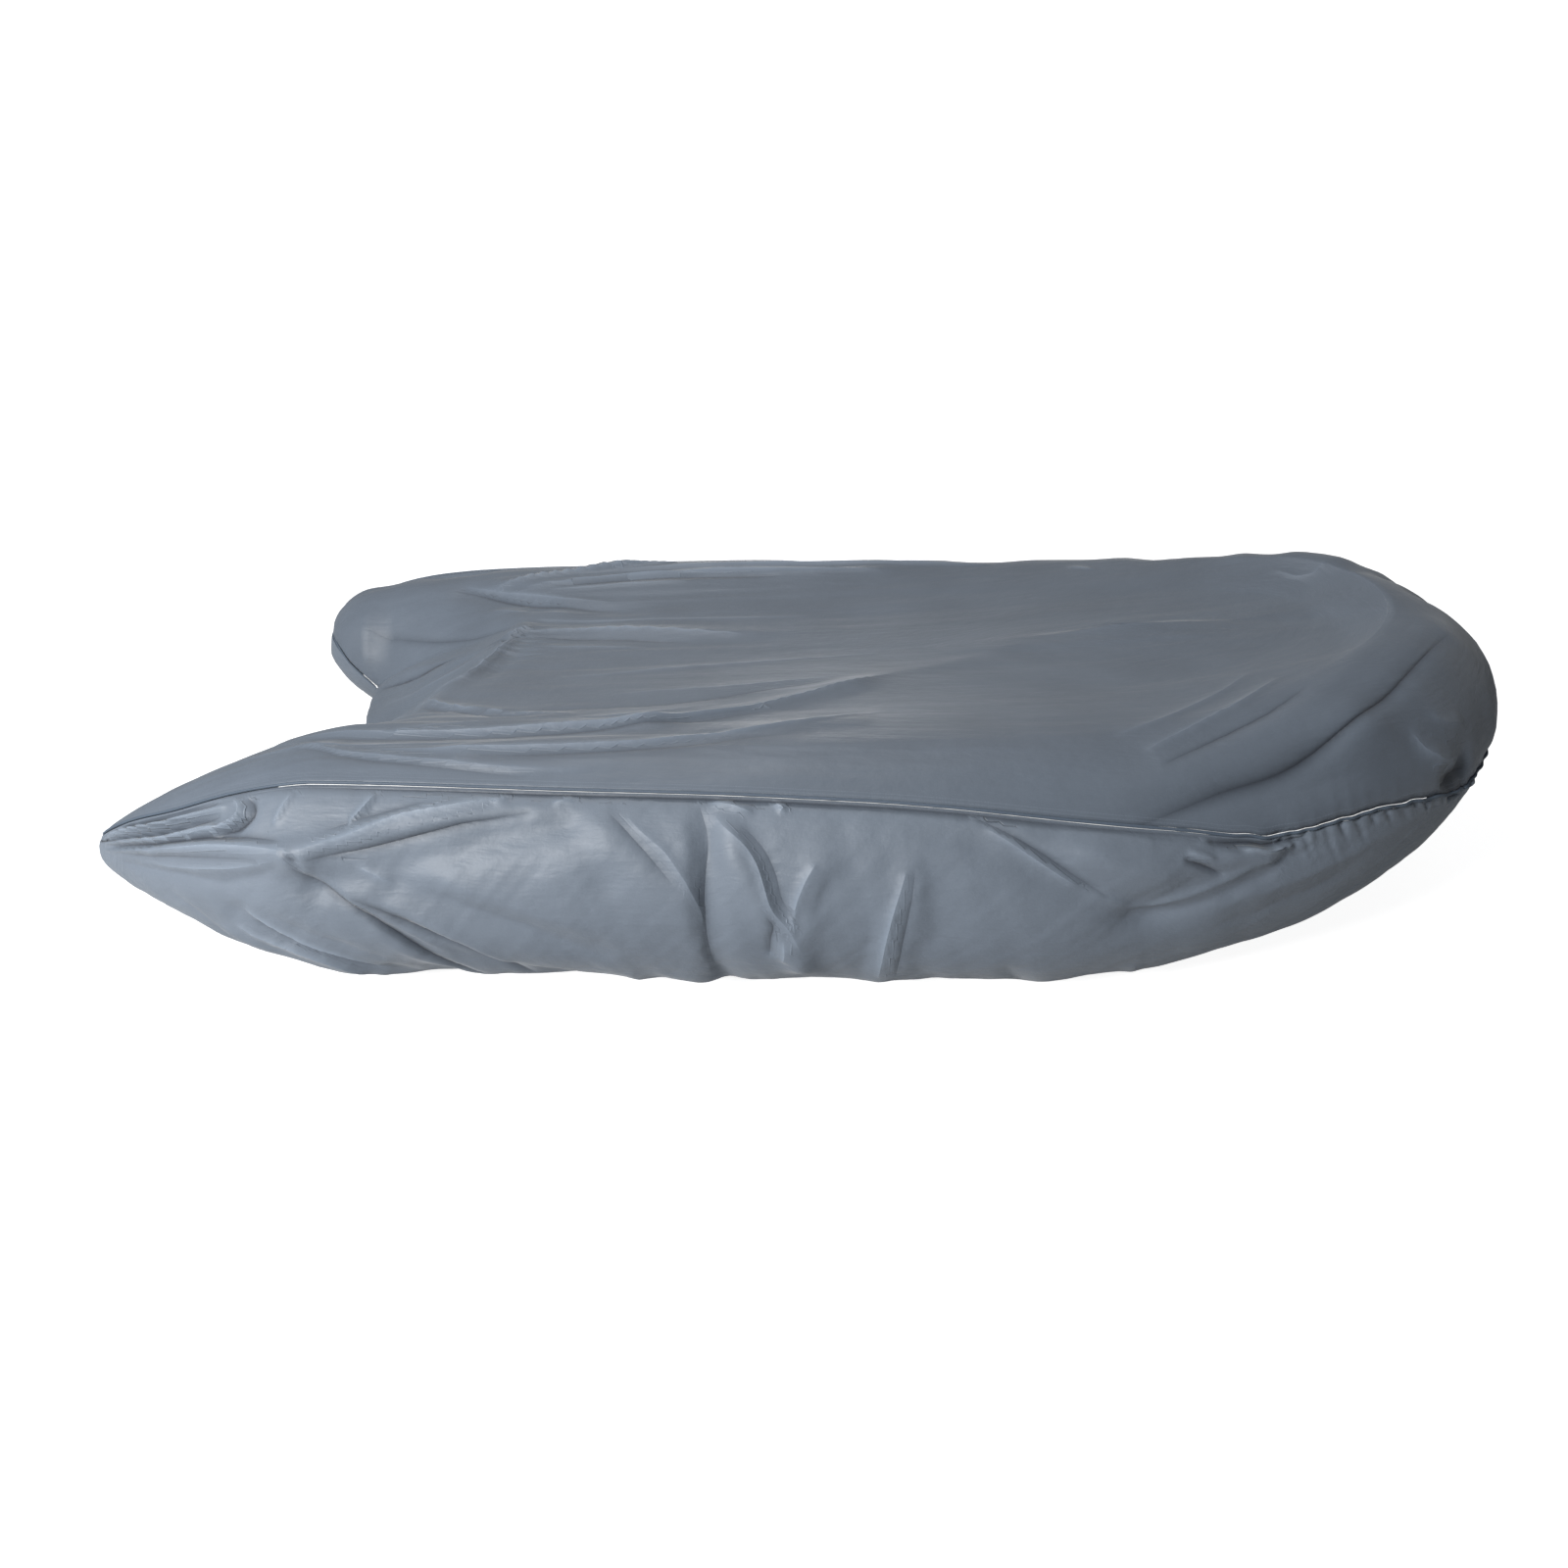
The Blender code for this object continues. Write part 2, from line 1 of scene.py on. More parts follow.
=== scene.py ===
"""Fitted cloth cover for a small inflatable boat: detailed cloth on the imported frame.

Metres, +Z up, +X to the bow, the near side at -Y. Hull sizes are counted from the stern (x = 0) and
from the ground (z = 0); everything is then moved so that zero is the underside of the deck cloth.
"""

from math import cos, pi, radians, sin

import bmesh
import bpy
import numpy as np
from mathutils import Matrix, Vector


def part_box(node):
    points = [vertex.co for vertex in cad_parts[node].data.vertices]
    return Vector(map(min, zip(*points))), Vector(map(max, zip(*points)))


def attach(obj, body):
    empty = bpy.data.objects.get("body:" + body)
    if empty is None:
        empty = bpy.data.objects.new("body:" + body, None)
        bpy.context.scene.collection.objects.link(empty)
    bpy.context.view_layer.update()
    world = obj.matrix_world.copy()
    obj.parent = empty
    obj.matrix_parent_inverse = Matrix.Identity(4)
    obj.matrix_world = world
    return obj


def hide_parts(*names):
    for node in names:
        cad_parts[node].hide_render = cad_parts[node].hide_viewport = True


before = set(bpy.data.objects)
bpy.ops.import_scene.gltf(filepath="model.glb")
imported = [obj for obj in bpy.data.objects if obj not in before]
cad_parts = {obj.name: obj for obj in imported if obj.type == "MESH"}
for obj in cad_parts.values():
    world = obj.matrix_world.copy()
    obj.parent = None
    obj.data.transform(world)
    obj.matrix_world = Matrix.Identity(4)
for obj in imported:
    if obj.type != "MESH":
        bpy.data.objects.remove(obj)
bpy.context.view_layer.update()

bl_info = {
    "name": "Boat cover",
    "version": (1, 0, 0),
    "blender": (4, 5, 0),
    "location": "View3D > Sidebar > Boat cover",
    "description": "Builds a fitted cloth cover for a small inflatable boat",
    "category": "Add Mesh",
}

# ---- hull sizes ------------------------------------------------------------------------------
LENGTH = 2.745           # stern to bow
HALF_BEAM = 0.79         # middle line to the widest part of a side
TUBE = 0.225             # radius of the round sides under the cloth
BOW_START = 1.58         # where the sides begin to close in
BOW_POWER = 2.13         # 2 is an ellipse, more is squarer
SHEER_START = 1.74       # where the sides begin to rise
SHEER_RISE = 0.109       # rise at the bow
BOW_THINNING = 0.06      # share of the radius that the sides lose towards the bow
SOLID_CLOTH = 0.002      # thickness of the frame's cloth
GAP = 0.0004             # between two sewn pieces
WELT = 0.0030            # radius of the seam cord
WELT_PROUD = 0.0015      # how far its middle stands off the cloth
WELT_END = 0.004         # length over which its ends are rounded
HEM_WIDTH = 0.019        # turned-up hem
HEM_PROUD = 0.0009       # how far its double layer stands off
HEM_STEP = 0.0012        # width of the step where that layer ends
RUFFLE_REACH = 0.035     # how far the puckers of its stitching reach
ORIGIN_X = 1.36          # hull place of the part's zero

NEAR, FAR = -1.0, 1.0
AFT = -0.1               # start of the side lines, aft of both stern tips
SIDE_LINE = HALF_BEAM - TUBE

# Stern tips: place, length and roundness of the taper, share of the radius in the nose, and how
# far the lower cloth is drawn forward. The near tip is drawn to a point, the far one is blunt.
PRONG = {NEAR: {"tip": 0.004, "length": 0.52, "power": 1.36, "nose": 0.17, "rake": 0.00},
         FAR: {"tip": -0.055, "length": 0.75, "power": 3.00, "nose": 0.17, "rake": 0.40}}
NOSE_LENGTH = 0.01       # length over which the nose grows to its radius
RAKE_LENGTH = 0.20       # length over which the drawing forward fades
RAKE_ABOVE = 0.02        # height over the side's middle up to which the cloth is drawn

# place along a side, the x that this section reaches on the middle line, and the height there
MIDDLE = {"along": (0.10, 0.30, 0.45, 0.58, 0.80, 1.30, 1.80, 2.20, 2.90),
          "x": (0.27, 0.40, 0.50, 0.60, 0.80, 1.26, 1.62, 1.82, 2.05),
          "z": (0.205, 0.270, 0.335, 0.388, 0.398, 0.404, 0.416, 0.436, 0.470)}
# the valley between the round side and the flat of the deck: share of the way in, share of the
# drop to the middle, and how long the cloth keeps to the round side
VALLEY = {NEAR: {"along": (0.10, 0.30, 0.48, 0.60, 0.90, 1.60, 2.40, 3.00),
                 "in": (0.33, 0.46, 0.48, 0.42, 0.36, 0.36, 0.38, 0.40),
                 "drop": (1.12, 0.88, 0.90, 0.85, 0.62, 0.60, 0.60, 0.60),
                 "hug": (2.30, 1.75, 1.45, 1.30, 1.25, 1.25, 1.30, 1.40)},
          FAR: {"along": (0.10, 0.30, 0.50, 0.64, 0.90, 1.60, 2.40, 3.00),
                "in": (0.33, 0.46, 0.56, 0.58, 0.44, 0.36, 0.38, 0.40),
                "drop": (1.12, 0.88, 0.90, 0.88, 0.66, 0.60, 0.60, 0.60),
                "hug": (2.30, 1.75, 1.45, 1.30, 1.25, 1.25, 1.30, 1.40)}}
SWEEP = 1.6              # how the sections curve aft on their way out to the sides

# main folds of the top panel: (x, y) of both ends, width, height
TOP_FOLDS = {"near crease, aft": (0.40, -0.50, 1.08, -0.46, 0.030, 0.008),
             "near crease, forward": (1.08, -0.46, 1.45, -0.23, 0.035, 0.007),
             "near gutter": (0.55, -0.56, 1.20, -0.52, 0.030, -0.006),
             "outer crease": (0.78, -0.60, 1.45, -0.46, 0.030, 0.006),
             "far gutter": (0.40, 0.47, 0.62, 0.34, 0.040, -0.010),
             "far gutter, forward": (0.62, 0.34, 0.88, 0.29, 0.035, -0.006),
             "far tension": (0.50, 0.49, 0.80, 0.58, 0.030, 0.008),
             "far tension, long": (0.58, 0.46, 1.50, 0.52, 0.035, 0.007),
             "corner pull": (0.63, 0.19, 1.20, 0.13, 0.035, 0.006),
             "stern board edge": (0.57, -0.27, 0.62, 0.20, 0.035, 0.012),
             "bow fold": (1.92, -0.70, 2.30, -0.52, 0.045, 0.012),
             "bow fold, forward": (2.30, -0.52, 2.56, -0.24, 0.050, 0.012),
             "bow hollow": (2.10, -0.70, 2.40, -0.56, 0.045, -0.010),
             "far shoulder": (2.30, 0.48, 2.38, 0.40, 0.070, 0.010),
             "far pinch": (2.36, 0.52, 2.44, 0.40, 0.030, -0.014)}

# seam and hem as angles on the round side, in degrees up from level
SEAM = {NEAR: {"along": (0.00, 0.10, 0.20, 0.36, 1.00, 1.35, 1.66, 1.94, 2.10, 2.20, 2.32, 2.46,
                         2.60, 2.68, 2.72, 3.00),
               "angle": (68.0, 63.0, 58.0, 60.0, 57.0, 54.0, 48.0, 34.0, 22.0, 20.5, 14.0, 0.0,
                         -1.0, 0.0, 0.0, 0.0)},
        FAR: {"along": (-0.05, 0.10, 0.50, 1.30, 1.70, 2.00, 2.30, 2.60, 2.68, 2.72, 3.00),
              "angle": (50.0, 64.0, 66.0, 64.0, 56.0, 36.0, 16.0, 1.0, 0.0, 0.0, 0.0)}}
HEM = {"along": (-0.05, 1.80, 2.10, 2.45, 2.90),
       "angle": (-68.0, -68.0, -60.0, -50.0, -46.0)}
TIP_FACING = (-0.86, 0.0, 0.51)   # the way the cloth faces at a stern tip
NOTCH = 0.10             # where the hem of the stern notch meets the prongs
NOTCH_SEAM = 195.0       # seam angle there, on the prong's inner side
TIP_SEAM = 115.0         # seam angle just inside a stern tip
PUCKER = 2.455           # where the two bands meet, on the near shoulder of the bow

# main folds of the bands: place along and share of the way down at both ends, width, height
NEAR_FOLDS = {"tip gather": (0.03, 0.05, 0.34, 0.04, 0.020, -0.010),
              "stern ridge": (0.04, 0.17, 0.52, 0.26, 0.030, 0.014),
              "rising ridge": (0.52, 0.26, 0.93, 0.03, 0.030, 0.013),
              "rising gutter": (0.56, 0.35, 0.98, 0.11, 0.030, -0.008),
              "falling fold": (0.52, 0.33, 0.92, 0.82, 0.028, -0.010),
              "falling fold, upper": (0.70, 0.36, 1.02, 0.56, 0.030, -0.007),
              "falling fold, lower": (0.62, 0.44, 0.78, 0.84, 0.025, 0.007),
              "stern gutter": (0.38, 0.50, 0.62, 0.78, 0.025, -0.009),
              "stern roll": (0.34, 0.64, 0.58, 0.84, 0.025, 0.009),
              "mid slant": (1.04, 0.06, 1.22, 0.50, 0.045, 0.006),
              "mid trough": (1.225, 0.08, 1.235, 0.88, 0.028, -0.011),
              "mid ridge": (1.25, 0.10, 1.38, 0.62, 0.028, 0.010),
              "mid fork": (1.41, 0.26, 1.37, 0.62, 0.025, 0.007),
              "low pleat": (1.56, 0.30, 1.51, 0.74, 0.032, 0.009),
              "bow sag, aft": (1.62, 0.03, 1.90, 0.36, 0.040, -0.012),
              "bow sag, forward": (1.90, 0.36, 2.12, 0.06, 0.040, -0.012),
              "bow belly": (1.76, 0.05, 2.00, 0.08, 0.070, 0.012)}
FAR_FOLDS = {"tip fold": (-0.02, 0.10, 0.30, 0.45, 0.030, -0.008),
             "slant": (0.45, 0.12, 0.85, 0.75, 0.035, -0.009),
             "trough": (1.20, 0.15, 1.24, 0.90, 0.030, -0.009),
             "ridge": (1.32, 0.10, 1.45, 0.80, 0.032, 0.009),
             "bow sag, aft": (1.62, 0.05, 1.90, 0.40, 0.040, -0.011),
             "bow sag, forward": (1.90, 0.40, 2.14, 0.08, 0.040, -0.010)}
# scallops of the hem: place along, half width, and how far the hem swings out and down
SCALLOPS = {NEAR: {"along": (0.62, 0.86, 1.07, 1.27, 1.52, 1.79, 1.98, 2.20),
                   "width": (0.07, 0.06, 0.06, 0.08, 0.06, 0.07, 0.06, 0.07),
                   "swing": (0.008, 0.006, 0.010, 0.014, 0.008, 0.012, 0.009, 0.007)},
            FAR: {"along": (0.40, 0.75, 1.10, 1.40, 1.70, 2.00, 2.35),
                  "width": (0.08, 0.08, 0.07, 0.08, 0.07, 0.08, 0.08),
                  "swing": (0.008, 0.010, 0.012, 0.012, 0.012, 0.010, 0.009)}}
BAND_DROP = 0.48         # cloth from seam to hem, used to measure across the folds
FOLD_CLEAR = 0.12        # share of the way down over which the folds of a band rise
TRIM = WELT + GAP        # cloth edge to the middle of the seam cord
TIP_ROOM = 0.40          # share of TRIM that the side bands add at the stern tips
TIP_FADE = 0.06          # length over which that fades

# ---- fine creases ----------------------------------------------------------------------------
# width, height (below 0 for a gutter) and skew (above 0 the left flank is wider) of each crease, then
# the points of its line in hull (x, y); all but the skew in millimetres
TOP_CREASES = {
    "near long": (8.5, 9.5, 0.4, (400, -512), (500, -516), (650, -519), (800, -509), (940, -491),
        (1080, -470), (1250, -379), (1410, -255), (1540, -165)),
    "near long, gutter": (13, -6, 0.0, (440, -538), (660, -539), (800, -530), (980, -505),
        (1150, -462), (1300, -375)),
    "near upper": (9, 4.5, 0.3, (600, -514), (730, -486), (890, -453), (1030, -401), (1200, -318)),
    "near upper, gutter": (16, -4, 0.0, (660, -475), (830, -440), (1000, -372)),
    "near outer": (8, 8.5, 0.4, (600, -590), (680, -596), (800, -601), (930, -593), (1100, -575),
        (1250, -529), (1380, -472), (1520, -400)),
    "near outer, gutter": (13, -5, 0.0, (780, -618), (900, -614), (1000, -604), (1170, -580),
        (1340, -527)),
    "near edge": (6.2, 4.2, 0.4, (360, -500), (400, -524), (540, -598), (660, -618), (870, -648),
        (1020, -650)),
    "near edge, gutter": (10, -3.5, 0.0, (440, -565), (580, -622), (740, -644), (920, -666)),
    "near edge, inner": (8, 3.5, 0.4, (240, -548), (400, -562), (560, -572), (800, -572)),
    "near middle": (12, -4, 0.0, (640, -330), (850, -352), (1050, -330), (1240, -262),
        (1440, -185)),
    "near middle, ridge": (12, 3.5, 0.4, (950, -265), (1190, -230), (1430, -167)),
    "corner ridge": (8, 6.5, 0.3, (490, -170), (540, -225), (590, -270), (680, -320), (770, -345),
        (920, -385)),
    "corner ridge, gutter": (11, -4.5, 0.0, (520, -265), (600, -310), (720, -358), (860, -392)),
    "board crest": (9.5, 10.5, -0.3, (490, -200), (530, -190), (575, -175), (605, -125), (613, -50),
        (618, 30), (628, 90), (640, 145)),
    "board crest, foot": (18, -5, 0.0, (460, -150), (530, -105), (565, -20), (585, 70)),
    "board crest, fore": (16, -4.5, 0.0, (640, -160), (660, -80), (665, 0), (675, 90)),
    "corner nick": (7, -12, 0.0, (572, 85), (600, 108), (625, 125), (655, 160)),
    "corner nick, lip": (8, 6, 0.0, (600, 145), (630, 165), (660, 195)),
    "corner pull": (6.5, 8.5, 0.5, (635, 165), (720, 170), (850, 164), (1000, 148), (1190, 120)),
    "corner pull, under": (10, -4.5, 0.0, (660, 140), (780, 125), (920, 108), (1080, 82)),
    "corner pull, second": (8, 3.5, 0.4, (680, 75), (820, 70), (980, 50)),
    "far shelf": (11, 4, 0.5, (640, 255), (800, 240), (1050, 235), (1350, 240)),
    "far gutter": (13, -7.5, 0.0, (340, 485), (410, 470), (520, 405), (600, 365), (720, 333),
        (860, 302)),
    "far gutter, lip": (9, 5.5, 0.3, (370, 505), (460, 462), (560, 415), (680, 378), (820, 350)),
    "far gutter, lower lip": (12, 4.5, 0.0, (480, 365), (600, 320), (740, 285)),
    "far tension": (6.2, 15, 0.3, (470, 455), (510, 475), (610, 508), (780, 563), (960, 592)),
    "far tension, gutter": (9, -9, 0.0, (480, 490), (600, 528), (740, 578)),
    "far long": (6.2, 15, 0.4, (560, 438), (590, 445), (730, 470), (890, 487), (1070, 504),
        (1260, 505), (1510, 508)),
    "far long, gutter": (10, -7.5, 0.0, (620, 437), (800, 462), (1000, 477), (1250, 482)),
    "far long, second": (7, 5.5, 0.4, (630, 423), (740, 437), (840, 449), (1010, 458)),
    "far long, outer": (7.2, 12, 0.4, (800, 545), (1000, 560), (1300, 566), (1600, 560),
        (1800, 545)),
    "prong band": (26, 13.5, 0.0, (120, 392), (220, 320), (320, 252), (420, 185), (520, 130),
        (630, 105)),
    "prong crease": (7, -10.5, 0.0, (170, 305), (240, 262), (310, 225), (420, 192), (530, 148),
        (620, 122)),
    "prong crease, upper": (11, -4.5, 0.0, (100, 425), (180, 410), (320, 342), (460, 275),
        (600, 232)),
    "flap crease": (9, 5, 0.0, (300, -80), (380, -130), (450, -180), (500, -220)),
    "flap crease, near": (12, -4.5, 0.0, (200, -360), (320, -365), (480, -360), (600, -370)),
    "flap fan": (10, -4, 0.0, (300, 20), (400, -20), (500, -60), (570, -90)),
    "flap fan, far": (12, 4, 0.0, (250, 140), (380, 100), (500, 70), (580, 80)),
    "bow fold": (24, 7, 0.4, (1930, -640), (2030, -606), (2140, -560), (2230, -500), (2320, -412),
        (2420, -290), (2500, -180)),
    "bow fold, gutter": (11, -10.5, 0.5, (1900, -722), (1960, -703), (2050, -670), (2160, -628),
        (2220, -592), (2280, -552), (2360, -484), (2460, -372), (2570, -245)),
    "bow fold, outer": (50, 8.5, 0.0, (2100, -728), (2210, -668), (2310, -604), (2410, -510),
        (2520, -380)),
    "bow knot": (6, 6, 0.0, (2110, -722), (2135, -706), (2165, -692), (2200, -684)),
    "bow knot, dark": (7, -7, 0.0, (2090, -722), (2125, -694), (2170, -672)),
    "bow pinch": (5, 8.5, 0.0, (2400, -505), (2430, -510), (2470, -500), (2535, -462)),
    "bow pinch, crease": (7, -20, 0.0, (2465, -522), (2495, -500), (2520, -475), (2560, -438)),
    "bow pinch, far": (8, 4.5, 0.0, (2440, -470), (2490, -452), (2540, -420)),
    "bow rim notch, far": (19, -20, 0.0, (2550, 68), (2630, 76), (2740, 88)),
    "bow rim notch, lip": (17, 3, 0.0, (2550, 25), (2640, 28), (2750, 33)),
    "bow rim notch, near": (18, -15, 0.0, (2555, -16), (2650, -22), (2760, -32)),
    "bow rim notch, near lip": (22, 2, 0.0, (2555, -78), (2640, -84), (2750, -94)),
    "bow rim corner": (22, 8, 0.0, (2535, 130), (2600, 138), (2700, 148)),
    "bow nose, full": (34, 12, 0.0, (2660, -60), (2680, -150), (2675, -230), (2650, -310),
        (2600, -390)),
    "far tip, full": (42, 16, 0.0, (-170, 570), (-50, 590), (30, 600), (140, 610)),
    "far prong, slack": (50, -13, 0.0, (160, 620), (300, 620), (480, 622)),
    "far crest, full": (45, 9.5, 0.0, (640, 623), (800, 623), (1000, 623), (1350, 623)),
    "far crest, dip": (45, -7, 0.0, (1640, 620), (1800, 610), (1930, 590)),
    "far crest, slack": (48, -18, 0.0, (2100, 540), (2210, 500), (2300, 440), (2410, 345)),
    "far shoulder": (45, 19, 0.0, (2400, 360), (2470, 270), (2530, 180), (2600, 100)),
    "far shoulder crease": (8, 3, 0.0, (2400, 226), (2430, 160), (2460, 145), (2500, 175)),
    "far edge pull": (8, 4.5, 0.0, (1980, 480), (2010, 462), (2050, 430)),
    "bow slack": (40, -6, 0.0, (2300, -400), (2400, -200), (2440, 50), (2420, 250)),
    "far bow crease": (16, 4.5, 0.3, (2050, 600), (2200, 500), (2340, 360)),
    "bow fan": (9.5, 6.2, 0.3, (1940, -605), (2030, -545), (2130, -470), (2230, -370)),
    "bow fan, gutter": (11, -5.8, 0.0, (1960, -640), (2050, -585), (2160, -515), (2260, -430)),
    "bow fan, second": (12, 4.2, 0.3, (1900, -560), (2000, -500), (2120, -400), (2200, -310)),
    "deck streak": (24, -4.5, 0.0, (1800, 30), (1930, 36), (2150, 45), (2390, -60)),
    "deck streak, near": (16, 3.5, 0.4, (1600, -30), (1920, -55), (2080, -60), (2240, -80)),
    "deck streak, aft": (12, 4, 0.4, (800, -135), (880, -130), (1080, -83), (1300, -44),
        (1520, -20)),
    "middle drift": (26, 3.5, 0.0, (1350, -240), (1600, -140), (1850, -20)),
    "middle drift, far": (26, -3.5, 0.0, (1200, 200), (1550, 240), (1900, 260))}

